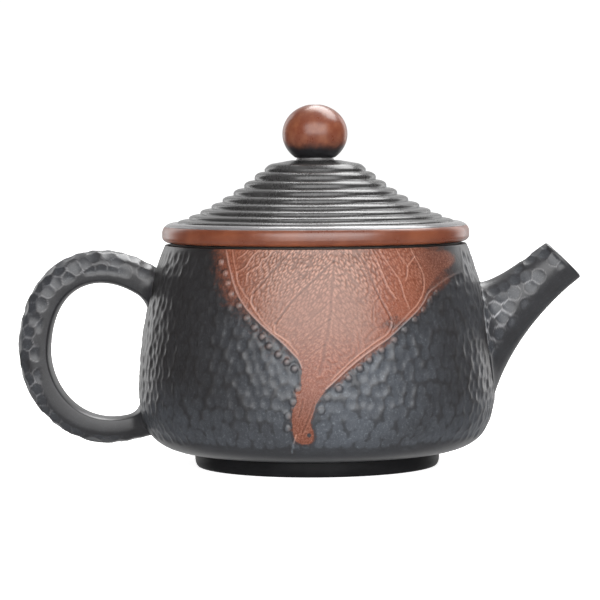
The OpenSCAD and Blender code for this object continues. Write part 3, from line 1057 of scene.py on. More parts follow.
@dataclass
class PotBody:
    """The beaten wall with its leaf, and the plain pieces that close it."""

    foot_r: float
    foot_h: float
    belly_r: float
    lip_z: float
    lip_r: float = 40.2
    belly_z: float = 19.5
    thickness: float = 3.0
    rebate: list[Point] = field(default_factory=lambda: [
        (38.7, 59.2), (38.7, 56.7), (39.3, 56.7), (39.3, 53.9), (38.2, 53.9)])
    smooth_foot: float = 2.6
    disc_wide: float = 3.9
    cell: Point = (0.46, 0.62)
    outer_rows: int = 0
    # Most painted highlight on the hammer ridges at the wall's sides.
    worn_sheen_most: float = 0.16
    leaf: LeafPrint = field(default_factory=LeafPrint)

    def outer(self, share: np.ndarray) -> np.ndarray:
        """Radius and height on the outside of the wall, at a share of its length from foot to lip."""
        t = np.linspace(0.0, 1.0, 400)
        low = [(self.foot_r, self.foot_h), (42.8, self.foot_h),
               (self.belly_r, 9.4), (self.belly_r, self.belly_z)]
        high = [(self.belly_r, self.belly_z), (self.belly_r, 33.0),
                (44.5, 50.0), (self.lip_r, self.lip_z)]
        path = np.vstack([bezier(low, t), bezier(high, t)[1:]])
        run = np.concatenate([[0.0], np.cumsum(np.linalg.norm(np.diff(path, axis=0), axis=1))])
        at = np.clip(share, 0.0, 1.0) * run[-1]
        return np.stack([np.interp(at, run, path[:, k]) for k in (0, 1)], axis=1)

    def radius_at(self, z: np.ndarray) -> np.ndarray:
        """Outer radius at a height."""
        path = self.outer(np.linspace(0.0, 1.0, 300))
        return np.interp(z, path[:, 1], path[:, 0])

    def inner(self) -> np.ndarray:
        """Radius and height down the inside: round the lip, past the seat's rebate, to the base slab."""
        lip = [(self.lip_r - 0.05, self.lip_z), (self.lip_r - 0.5, self.lip_z)]
        share = np.linspace(0.88, 0.0, 8)
        path = self.outer(share)
        ahead = self.outer(share + 0.005) - self.outer(share - 0.005)
        normal = np.stack([-ahead[:, 1], ahead[:, 0]], axis=1) / np.linalg.norm(ahead, axis=1)[:, None]
        inside_wall = path + self.thickness * normal
        inside_wall[-1] = (self.foot_r, self.foot_h + self.thickness)
        return np.vstack([lip, self.rebate, inside_wall, [(self.foot_r, self.foot_h)]])

    def build_wall(self, material: bpy.types.Material) -> bpy.types.Object:
        """Builds the wall with its hammer marks and leaf.

        Args:
            material: The clay that it is made of.

        Returns:
            The finished piece.
        """
        columns = round(2 * math.pi * self.leaf.reach_r / self.cell[0])
        length = np.linalg.norm(np.diff(self.outer(np.linspace(0, 1, 200)), axis=0), axis=1).sum()
        self.outer_rows = round(length / self.cell[1])
        inner = self.inner()
        rows = self.outer_rows + len(inner)
        net = self._flat_net(columns, rows)
        flat = points_of(net) * MM
        angle = (flat[:, 0] / columns - 0.5) * 2 * math.pi
        outside = flat[:, 1] <= self.outer_rows
        section = self.outer(flat[:, 1] / (self.outer_rows - 0.8))
        steps = np.vstack([self.outer(np.array([1.0])), inner])
        step = np.clip(flat[:, 1] - self.outer_rows, 0, len(inner))
        for k in (0, 1):
            section[~outside, k] = np.interp(step[~outside], np.arange(len(steps)), steps[:, k])
        where = np.stack([angle * self.leaf.reach_r, section[:, 1]], axis=1)
        self._write_marks(net, where, outside)
        radius, height = section.T
        round_wall = np.stack([radius * np.sin(angle), -radius * np.cos(angle), height], axis=1)
        net.data.vertices.foreach_set("co", (round_wall * MM).ravel())
        self._close(net)
        marks = HammerMarks(Placing.COURSES, width=2.7, squash=0.8, bowl_r=1.75, depth=0.38, seed=5,
                            low_z=7.5, high_z=58.6, jitter=0.32)
        marks.beat(net, material)
        return net

    def _flat_net(self, columns: int, rows: int) -> bpy.types.Object:
        """The wall unrolled as a net of cells, finer where the leaf lies, in cells instead of lengths."""
        x, y = np.meshgrid(np.arange(columns + 1, dtype=float), np.arange(rows + 1, dtype=float))
        points = np.stack([x.ravel(), y.ravel(), np.zeros(x.size)], axis=1)
        mesh = bpy.data.meshes.new("body_wall")
        mesh.from_pydata(points.tolist(), [], grid_faces(rows + 1, columns + 1, False).tolist())
        work = bmesh.new()
        work.from_mesh(mesh)
        work.faces.ensure_lookup_table()
        middle = np.array([f.calc_center_median()[:2] for f in work.faces])
        height = self.outer(middle[:, 1] / self.outer_rows)[:, 1]
        where = np.stack([(middle[:, 0] / columns - 0.5) * 2 * math.pi * self.leaf.reach_r, height], axis=1)
        below_lip = middle[:, 1] < self.outer_rows - 1
        wanted = (self.leaf.near(where) < 0.9) & below_lip
        wanted |= (distance_to_points(self.leaf.beads(), where) < 1.3) & below_lip
        edges = {edge for face, want in zip(work.faces, wanted) if want for edge in face.edges}
        bmesh.ops.subdivide_edges(work, edges=list(edges), cuts=1, use_grid_fill=True)
        work.to_mesh(mesh)
        work.free()
        return as_object("body_wall", mesh)

    def _write_marks(self, net: bpy.types.Object, where: np.ndarray, outside: np.ndarray) -> None:
        """Stores where the hammer, the leaf, the blue-grey frosting with its painted light, the painted
        shade at the roots and the painted ridge highlights lie on the wall.
        """
        u, z = where.T
        close = outside & (np.abs(u - 14.0) < 50.0)
        pressed = self.leaf.press(where[close])
        values = {name: np.zeros(len(where)) for name in ("relief", "brown", "pale_and_sheen", "relief_light_and_shade", "quiet")}
        for name, found in pressed.items():
            values[name][close] = found
        roots = self._smoothed_shaded_roots(u, z)
        lip = smooth(self.lip_z, self.lip_z - 1.2, z) * (1.0 - roots)
        room = self.belly_r - self.radius_at(z)
        foot = smooth(self.foot_h + self.smooth_foot, self.foot_h + self.smooth_foot + 2.5, z)
        write_values(net, "hammer", np.where(outside, (1.0 - values["quiet"]) * lip * foot, 0.0))
        write_values(net, "relief", np.where(outside, np.minimum(values["relief"] * lip, room), 0.0) * MM)
        for name in ("brown", "pale_and_sheen", "relief_light_and_shade"):
            write_values(net, name, values[name])
        # The frosting is taken away at the roots, a painted shade there.
        write_values(net, "frost_and_light", self._frost_and_light(u, z) * (1.0 - 0.9 * roots))
        # Painted highlight on the hammer ridges towards the wall's sides.
        worn_and_sheen = self.worn_sheen_most * smooth(42.0, 60.0, np.abs(u)) * (1.0 - roots) * foot
        write_values(net, "worn_and_sheen", np.where(outside, worn_and_sheen, 0.0))

    def _smoothed_shaded_roots(self, u: np.ndarray, z: np.ndarray) -> np.ndarray:
        """Where the clay is smoothed round the luted handle and spout and darkened there, partly as painted
        shade where they meet the wall, from 0 to 1.
        """
        quarter = 0.5 * math.pi * self.leaf.reach_r
        upper = np.exp(-(((u + quarter) / 17.0) ** 2 + ((z - 51.0) / 6.0) ** 2))
        lower = np.exp(-(((u + quarter) / 10.0) ** 2 + ((z - 12.0) / 3.6) ** 2))
        spout = np.exp(-(((u - quarter) / 17.0) ** 2 + ((z - 32.0) / 13.0) ** 2))
        return smooth(0.25, 0.6, np.maximum(np.maximum(upper, lower), spout))

    @staticmethod
    def _frost_and_light(u: np.ndarray, z: np.ndarray) -> np.ndarray:
        """Share of blue-grey kiln frosting, partly painted light: strongest low on the front where the
        front light falls, raised low down in place of light from below, least under the handle's side.
        """
        front = np.exp(-(((u - 7.0) / 25.0) ** 2)) * smooth(58.0, 34.0, z)
        front *= 0.6 + 0.4 * smooth(4.0, 16.0, z)
        front *= 1.0 - 0.15 * smooth(5.0, 20.0, u)
        right = 0.2 * smooth(20.0, 50.0, u) * smooth(125.0, 60.0, u)
        back = 0.45 * smooth(85.0, 130.0, np.abs(u))
        # Painted light: the low band is lightened in place of light from below.
        low = 0.5 * smooth(30.0, 10.0, z)
        return np.clip(np.maximum(np.maximum(front, low), np.maximum(right, back)) + 0.06, 0.0, 1.0)

    @staticmethod
    def _close(net: bpy.types.Object) -> None:
        """Joins the net's first and last column and its first and last row."""
        work = bmesh.new()
        work.from_mesh(net.data)
        bmesh.ops.remove_doubles(work, verts=[v for v in work.verts if v.is_boundary], dist=2e-6)
        bmesh.ops.recalc_face_normals(work, faces=work.faces)
        work.to_mesh(net.data)
        work.free()
        net.data.shade_smooth()

    def build_foot(self) -> bpy.types.Object:
        """Builds the rounded foot ring."""
        foot_in = self.foot_r - 5.5
        outline = np.vstack([
            arc((foot_in + 1.4, 1.4), (1.4, 1.4), 180, 270, 8),
            line((foot_in + 1.6, 0.0), (self.foot_r - 1.1, 0.0), 3),
            arc((self.foot_r - 0.9, 2.4), (0.9, 2.4), 270, 360, 12),
            line((self.foot_r, 2.6), (self.foot_r, self.foot_h), 3), [(self.foot_r, self.foot_h)],
            [(foot_in, self.foot_h)]])
        return turned("foot_ring", outline, 192)

    def build_mouth_ring(self, low_z: float, seat_z: float, mouth_r: float,
                         ring_r: float) -> bpy.types.Object:
        """Builds the ring that the lid sits on, with softened edges.

        Args:
            low_z: Height of its underside.
            seat_z: Height of the seat on it.
            mouth_r: Its inner radius, which is the mouth's.
            ring_r: Its outer radius.

        Returns:
            The new piece.
        """
        soft = 0.5
        outline = np.vstack([
            [(mouth_r, low_z)], [(ring_r, low_z)],
            arc((ring_r - soft, seat_z - soft), (soft, soft), 0, 90, 5),
            arc((mouth_r + soft, seat_z - soft), (soft, soft), 90, 180, 5)])
        return turned("mouth_ring", outline, 192)


@dataclass
class Spout:
    """The short spout, drawn between its lower and its upper edge seen from the side."""

    body: PotBody
    low: list[Point] = field(default_factory=lambda: [
        (46.2, 13.8), (49.1, 25.3), (55.8, 37.9), (70.9, 50.0)])
    high: list[Point] = field(default_factory=lambda: [
        (42.6, 48.0), (49.5, 49.6), (54.4, 53.8), (61.6, 59.1)])
    root_half_w: float = 11.5
    tip_half_w: float = 6.0
    root_wall: float = 3.4
    tip_wall: float = 2.1
    rows: int = 150
    sides: int = 168
    lip_round: float = 0.7
    luting: float = 3.2
    # Blue-grey frosting, partly painted light.
    frost_and_light: float = 0.42

    def half_width(self, t: np.ndarray) -> np.ndarray:
        """Half-width across the pot at t along the spout."""
        return self.tip_half_w + (self.root_half_w - self.tip_half_w) * (1 - t) ** 1.6

    def skin(self, t: np.ndarray, inwards: np.ndarray) -> np.ndarray:
        """Rings of the spout's surface.

        Args:
            t: Places along the spout, from 0 at the wall to 1 at the lip.
            inwards: How far each ring lies inside the outer surface.

        Returns:
            An array of rings of points.
        """
        low, high = bezier(self.low, t), bezier(self.high, t)
        centre, up = (low + high) / 2, (high - low) / 2
        tall = np.linalg.norm(up, axis=1)
        up = up * ((tall - inwards) / tall)[:, None]
        wide = self.half_width(t) - inwards
        a = np.arange(self.sides) * 2 * math.pi / self.sides
        x = centre[:, :1] + up[:, :1] * np.cos(a)
        y = wide[:, None] * np.sin(a)
        z = centre[:, 1:] + up[:, 1:] * np.cos(a)
        return np.stack([x, y, z], axis=-1)

    def build(self, material: bpy.types.Material) -> bpy.types.Object:
        """Builds the hollow spout with its hammer marks and its luted root."""
        t = np.linspace(0.0, 1.0, self.rows)
        outer = self._lute(self.skin(t, np.zeros(self.rows)))
        bend = np.radians(np.linspace(0, 90, 6))
        lip = self.skin(np.ones(6), self.lip_round * (1 - np.cos(bend)))
        out = self._mouth_way()
        shift = (self.lip_round * np.sin(bend))[:, None, None] * out
        outer = outer - self._near_tip(t)[:, None, None] * out
        lip = lip - self.lip_round * out + shift
        steps = np.linspace(1.0, 0.0, 40)
        wall = self.root_wall + (self.tip_wall - self.root_wall) * steps
        inner = self.skin(steps, wall)
        bend_in = np.radians([90, 60, 30, 0])
        inner_lip = self.skin(np.ones(4), self.tip_wall - self.lip_round * (1 - np.sin(bend_in)))
        rings = np.concatenate([outer, lip, inner_lip, inner, outer[:1]])
        piece = build("spout", rings.reshape(-1, 3), grid_faces(len(rings), self.sides, True))
        self._write_marks(piece)
        HammerMarks(Placing.SCATTERED, width=2.8, bowl_r=2.1, depth=0.36, seed=11).beat(piece, material)
        return piece

    def _near_tip(self, t: np.ndarray) -> np.ndarray:
        """How far the last rings draw back so that the lip's round ends where the spout does."""
        return self.lip_round * smooth(0.9, 1.0, t)

    def _mouth_way(self) -> np.ndarray:
        """Direction out of the mouth."""
        across = np.subtract(self.high[-1], self.low[-1])
        out = np.array([across[1], 0.0, -across[0]])
        return out / np.linalg.norm(out)

    def _lute(self, rings: np.ndarray) -> np.ndarray:
        """Spreads the root's rings into a smooth fillet on the pot's wall."""
        radius = np.hypot(rings[..., 0], rings[..., 1])
        gap = radius - self.body.radius_at(rings[..., 2])
        spread = fillet(gap, self.luting) * 0.55
        middle = rings.mean(axis=1, keepdims=True)
        away = rings - middle
        away[..., 0] = 0.0
        away /= np.linalg.norm(away, axis=2, keepdims=True) + 1e-9
        side = smooth(1.0, 0.6, np.abs(away[..., 2]))[..., None]
        return rings + away * spread[..., None] * (0.15 + 0.85 * side)

    def _write_marks(self, piece: bpy.types.Object) -> None:
        """Stores where the hammer, the painted ridge highlight and the blue-grey frosting, partly painted
        light, lie on the spout.
        """
        place = points_of(piece)
        t = np.linspace(0.0, 1.0, 60)
        low, high = bezier(self.low, t), bezier(self.high, t)
        middle = (low + high) / 2
        along = np.argmin(np.linalg.norm(place[:, None, [0, 2]] - middle[None], axis=2), axis=1)
        up = (high - low)[along]
        half = np.linalg.norm(up, axis=1) / 2
        lift = ((place[:, [0, 2]] - middle[along]) * up).sum(axis=1) / (2 * half**2)
        outward = np.hypot(lift, place[:, 1] / self.half_width(t)[along])
        skin = smooth(0.8, 0.93, outward)
        upper = smooth(-0.3, 0.05, lift)
        tip = middle[-1]
        mouth = (place - np.array([tip[0], 0.0, tip[1]])) @ self._mouth_way()
        write_values(piece, "hammer", skin * upper * smooth(-0.5, -1.6, mouth))
        # Painted highlight on the hammer ridges in a band along the spout.
        band = np.exp(-(((lift - 0.15) / 0.3) ** 2))
        write_values(piece, "worn_and_sheen", skin * upper * band * smooth(-0.5, -1.6, mouth))
        write_plain(piece, self.frost_and_light)


@dataclass
class Handle:
    """The looped handle, swept along its centre line in two curves."""

    body: PotBody
    upper: list[Point] = field(default_factory=lambda: [
        (-43.2, 47.9), (-56.0, 58.6), (-74.5, 54.1), (-75.4, 32.0)])
    lower: list[Point] = field(default_factory=lambda: [
        (-75.4, 32.0), (-75.9, 19.0), (-64.0, 4.0), (-45.0, 11.8)])
    half_t: float = 4.45
    half_w: float = 5.6
    low_share: float = 0.78
    rows: int = 240
    sides: int = 96
    luting: float = 3.6
    # Blue-grey frosting, partly painted light.
    frost_and_light: float = 0.34
    root_way: Point = (-0.966, 0.26)

    def build(self, material: bpy.types.Material) -> bpy.types.Object:
        """Builds the handle with its hammer marks and its luted roots."""
        share = np.linspace(0.0, 1.0, self.rows // 2)
        path = np.vstack([bezier(self.upper, share), bezier(self.lower, share)[1:]])
        way = np.gradient(path, axis=0)
        way /= np.linalg.norm(way, axis=1)[:, None]
        square = np.concatenate([(1.0 - share) ** 6, np.zeros(len(share) - 1)])[:, None]
        way = way * (1.0 - square) + np.array(self.root_way) * square
        way /= np.linalg.norm(way, axis=1)[:, None]
        out = np.stack([way[:, 1], -way[:, 0]], axis=1)
        run = np.concatenate([[0.0], np.cumsum(np.linalg.norm(np.diff(path, axis=0), axis=1))])
        run /= run[-1]
        thick = self.half_t * (1.0 - (1.0 - self.low_share) * smooth(0.45, 1.0, run))
        wide = self.half_w + (5.0 - self.half_w) * smooth(0.4, 1.0, run)
        a = np.arange(self.sides) * 2 * math.pi / self.sides
        section = self._section(a)
        rings = np.empty((len(path), self.sides, 3))
        rings[..., 0] = path[:, :1] + out[:, :1] * thick[:, None] * section[:, 0]
        rings[..., 2] = path[:, 1:] + out[:, 1:] * thick[:, None] * section[:, 0]
        rings[..., 1] = wide[:, None] * section[:, 1]
        rings = self._lute(rings, path, smooth(0.4, -0.5, section[:, 0]))
        points = rings.reshape(-1, 3)
        last = len(points) - self.sides
        faces = list(grid_faces(len(path), self.sides, True))
        faces += [list(range(self.sides))[::-1], list(range(last, last + self.sides))]
        piece = build("handle", points, faces)
        self._write_marks(piece, path, out, thick, wide)
        HammerMarks(Placing.SCATTERED, width=2.6, bowl_r=2.1, depth=0.46, seed=23).beat(piece, material)
        return piece

    @staticmethod
    def _section(a: np.ndarray) -> np.ndarray:
        """The handle's section for each angle: round outside, a shallow crown between two edges inside."""
        c, s = np.cos(a), np.sin(a)
        edge, edge_deep, edge_wide = 0.42, 0.74, 0.96
        share = np.abs(np.arcsin(np.clip(-c, 0.0, 1.0))) / (0.5 * math.pi)
        flat = np.clip(share / edge, 0.0, 1.0)
        crown = np.clip((share - edge) / (1.0 - edge), 0.0, 1.0) * 0.5 * math.pi
        deep = -edge_deep * flat - (1.0 - edge_deep) * np.sin(crown)
        wide = (1.0 - (1.0 - edge_wide) * flat**2) * np.cos(crown)
        deep = np.where(c < 0, deep, np.abs(c) ** 0.92)
        return np.stack([deep, np.sign(s) * np.where(c < 0, wide, np.abs(s) ** 0.92)], axis=1)

    def _lute(self, rings: np.ndarray, path: np.ndarray, share: np.ndarray) -> np.ndarray:
        """Sinks the ends into the pot's wall and spreads the roots along it.

        Args:
            rings: The handle's rings of points.
            path: Its centre line.
            share: How much each point of a ring spreads, from 0 to 1.

        Returns:
            The moved rings.
        """
        radius = np.hypot(rings[..., 0], rings[..., 1])
        gap = radius - self.body.radius_at(rings[..., 2])
        for end in (0, -1):
            rings[end, :, :2] *= (1.0 - np.clip(gap[end] + 0.6, 0.0, None) / radius[end])[:, None]
        spread = fillet(gap, self.luting)
        middle = np.stack([path[:, 0], np.zeros(len(path)), path[:, 1]], axis=1)[:, None]
        away = rings - middle
        outward = rings * np.array([1.0, 1.0, 0.0]) / radius[..., None]
        away -= outward * (away * outward).sum(axis=2, keepdims=True)
        away /= np.linalg.norm(away, axis=2, keepdims=True) + 1e-9
        return rings + away * (spread * (0.1 + 0.7 * share))[..., None]

    def _write_marks(self, piece: bpy.types.Object, path: np.ndarray, out: np.ndarray, thick: np.ndarray,
                     wide: np.ndarray) -> None:
        """Stores where the hammer, the painted ridge highlight and the blue-grey frosting, partly painted
        light, lie on the handle.
        """
        place = points_of(piece)
        gap = np.linalg.norm(place[:, None, [0, 2]] - path[None, ::4], axis=2)
        along = np.argmin(gap, axis=1) * 4
        lift = ((place[:, [0, 2]] - path[along]) * out[along]).sum(axis=1) / thick[along]
        side = np.abs(place[:, 1]) / wide[along]
        root = np.hypot(place[:, 0], place[:, 1]) - self.body.radius_at(place[:, 2])
        low_half = smooth(0.5, 0.8, along / len(path))
        reach = smooth(-0.5, -0.2, lift - 0.75 * low_half * side) * smooth(0.5, 2.5, root)
        write_values(piece, "hammer", reach)
        # Painted highlight on the hammer ridges, less on the lower half.
        write_values(piece, "worn_and_sheen", 0.5 * reach * (1.0 - 0.5 * low_half))
        write_plain(piece, self.frost_and_light)


# ---------------------------------------------------------------- the lid


@dataclass
class Lid:
    """The lid: a stepped cone, its brown rim band, its collar and its ball knob."""

    seat_z: float
    rim_h: float
    rim_r: float
    knob_r: float
    top_z: float
    steps: int = 9
    shoulder_in: float = 3.0
    shoulder_down: float = 1.8
    shoulder_h: float = 2.8
    first_in: float = 4.25
    first_up: float = 0.7
    step_in: float = 3.0
    step_widen: float = 0.00018
    step_up: float = 1.09
    step_steepen: float = 0.078
    collar_in_r: float = 32.4
    collar_r: float = 34.9
    collar_low_z: float = 52.3
    vent_r: float = 1.2
    plate_h: float = 17.4
    neck_r: float = 4.9
    columns: int = 300
    bead_points: int = 12

    @property
    def plate_z(self) -> float:
        """Height of the plate's underside."""
        return self.seat_z + self.rim_h

    def step_place(self, i: float) -> Point:
        """Radius of step i and the height of its foot."""
        return (self.rim_r - self.first_in - self.step_in * i + self.step_widen * i**4,
                self.plate_z + self.first_up + self.step_up * i + self.step_steepen * i * i)

    def shoulder(self, start: float, end: float, steps: int) -> np.ndarray:
        """Points of the rounding that runs from the rim band over the plate's edge, between two angles."""
        centre = (self.rim_r - self.shoulder_in, self.plate_z - self.shoulder_down)
        return arc(centre, (self.shoulder_in, self.shoulder_h), start, end, steps)

    @property
    def shoulder_cut(self) -> float:
        """Angle of that rounding at which the band ends and the plate begins."""
        return math.degrees(math.asin(self.shoulder_down / self.shoulder_h))

    def build_plate(self, material: bpy.types.Material) -> bpy.types.Object:
        """Builds the stepped cone: its steps by the rule, its crown and underside from listed points."""
        band = self._stepped_band(material)
        top_z = self.plate_z + self.plate_h
        last_r, last_z = self.step_place(self.steps - 1)
        side = through([(last_r, last_z + 0.1), (last_r, last_z + 0.6), (last_r - 0.35, top_z - 1.9),
                        (last_r - 1.1, top_z - 1.25), (last_r - 2.1, top_z - 0.85)], 4)
        crown = np.vstack([
            [(last_r, last_z)], side, line((last_r - 2.6, top_z - 0.78), (self.neck_r + 1.5, top_z), 5),
            line((self.neck_r + 1.5, top_z), (self.vent_r, top_z), 4)])
        under = [(self.vent_r, top_z), (self.vent_r, top_z - 3.6), (9.5, top_z - 4.1)]
        under += [(r - 0.1, z - 3.3) for r, z in (self.step_place(i) for i in range(self.steps - 1, 2, -1))]
        under += [(self.collar_in_r, self.plate_z)]
        shoulder = np.vstack([self.shoulder(self.shoulder_cut, 90, 9), [self.step_place(0)]])
        rest = np.vstack([crown, under, shoulder])
        angle = np.arange(self.columns) * 2 * math.pi / self.columns
        x, y = rest[:, :1] * np.sin(angle), -rest[:, :1] * np.cos(angle)
        points = np.stack([x, y, np.repeat(rest[:, 1:], self.columns, axis=1)], axis=-1).reshape(-1, 3)
        faces = grid_faces(len(rest), self.columns, True)
        stepped = points_of(band)
        quads = np.array([p.vertices[:] for p in band.data.polygons])
        bpy.data.objects.remove(band)
        return build("lid_plate", np.vstack([points, stepped]), np.vstack([faces, quads + len(points)]))

    def _stepped_band(self, material: bpy.types.Material) -> bpy.types.Object:
        """The steps' surface, made by a tree that works out each point from its row and column."""
        group = bpy.data.node_groups.new("stepped_band", "GeometryNodeTree")
        sizes = {"First radius": self.step_place(0)[0] * MM, "Step in": self.step_in * MM,
                 "Widen": self.step_widen * MM,
                 "Step up": self.step_up * MM, "Steepen": self.step_steepen * MM,
                 "Foot height": (self.plate_z + self.first_up) * MM}
        keys = add_sizes(group, sizes)
        group.interface.new_socket("Geometry", in_out="OUTPUT", socket_type="NodeSocketGeometry")
        tree = Weaver(group)
        start = tree.node("NodeGroupInput")
        first, go, widen, up, steepen, foot = (Term(group, start.outputs[name]) for name in sizes)
        rows = (self.steps - 1) * self.bead_points + 1
        grid = tree.term("GeometryNodeMeshGrid", inputs={
            "Size X": 1.0, "Size Y": 1.0, "Vertices X": self.columns + 1, "Vertices Y": rows})
        index = tree.term("GeometryNodeInputIndex")
        column = (index / float(rows)).math("FLOOR", index / float(rows) + 1e-4)
        row = index - column * float(rows)
        step = row.math("FLOOR", row / float(self.bead_points) + 1e-4)
        share = (row / float(self.bead_points) - step).held()
        after = step + 1.0
        outer_r = first - go * step + widen * step**4.0
        inner_r = first - go * after + widen * after**4.0
        low_z = foot + up * step + steepen * step * step
        high_z = foot + up * after + steepen * after * after
        swing = (share - 1.0 / self.bead_points).held() * (math.pi / 2 / (1.0 - 1.0 / self.bead_points))
        rise = high_z - low_z
        is_foot = share.math("LESS_THAN", share, 0.5 / self.bead_points)
        radius = inner_r + (outer_r - inner_r) * swing.math("COSINE", swing)
        raised = low_z + rise * (0.32 + 0.72 * swing.math("SINE", swing)) - rise * 0.04 * share
        height = raised * (1.0 - is_foot) + low_z * is_foot
        radius = radius * (1.0 - is_foot) + outer_r * is_foot
        angle = column * (2 * math.pi / self.columns)
        place = tree.term("ShaderNodeCombineXYZ", inputs={
            "X": radius * angle.math("SINE", angle),
            "Y": 0.0 - radius * angle.math("COSINE", angle), "Z": height})
        shaped = tree.term("GeometryNodeSetPosition", inputs={"Geometry": grid, "Position": place})
        merged = tree.term("GeometryNodeMergeByDistance", inputs={"Geometry": shaped, "Distance": 1e-6})
        real = tree.term("GeometryNodeRealizeInstances", inputs={"Geometry": merged})
        dressed = tree.term("GeometryNodeSetMaterial", inputs={"Geometry": real, "Material": material})
        tree.node("NodeGroupOutput", inputs={"Geometry": dressed})
        band = as_object("stepped_band", bpy.data.meshes.new("stepped_band"))
        run_tree(band, group, keys, sizes)
        return band

    def build_rim(self) -> bpy.types.Object:
        """Builds the brown band round the lid."""
        edge = 1.6
        outline = np.vstack([
            line((self.collar_in_r, self.seat_z), (self.rim_r - edge, self.seat_z), 6),
            arc((self.rim_r - edge, self.seat_z + edge), (edge, edge), -90, 0, 14),
            self.shoulder(4.0, self.shoulder_cut, 12),
            line((self.collar_in_r + 6.0, self.plate_z), (self.collar_in_r, self.plate_z), 3),
            [(self.collar_in_r, self.plate_z)]])
        return turned("lid_rim", outline, 300)

    def build_collar(self) -> bpy.types.Object:
        """Builds the collar that drops into the mouth."""
        soft = 0.9
        outline = np.vstack([
            arc((self.collar_in_r + soft, self.collar_low_z + soft), (soft, soft), 180, 270, 6),
            arc((self.collar_r - soft, self.collar_low_z + soft), (soft, soft), 270, 360, 6),
            [(self.collar_r, self.seat_z)], [(self.collar_in_r, self.seat_z)]])
        return turned("lid_flange", outline, 192)

    def build_knob(self, low_z: float) -> bpy.types.Object:
        """Builds the ball knob with its air hole."""
        half_h = 7.9
        mid_z = self.top_z - half_h * math.sqrt(1 - (self.vent_r / self.knob_r) ** 2)
        low = -math.degrees(math.asin(min(1.0, (mid_z - low_z) / half_h)))
        high = math.degrees(math.acos((self.vent_r + 0.35) / self.knob_r))
        ball = arc((0.0, mid_z), (self.knob_r, half_h), low, high, 90)
        top = ball[-1]
        outline = np.vstack([
            ball, [(self.vent_r + 0.1, top[1] - 0.08)],
            line((self.vent_r, top[1] - 0.35), (self.vent_r, low_z), 6),
            [(self.vent_r, low_z)]])
        return turned("knob", outline, 180)

    def build_neck(self, low_z: float, high_z: float, neck_r: float) -> bpy.types.Object:
        """Builds the waisted neck under the knob."""
        side = np.array([(neck_r + 0.3 * (1 - t) ** 3, low_z + t * (high_z - low_z))
                         for t in np.linspace(0.0, 1.0, 12)])
        outline = np.vstack([side, [(self.vent_r, high_z)], [(self.vent_r, low_z)]])
        return turned("knob_collar", outline, 128)


# ---------------------------------------------------------------- the studio


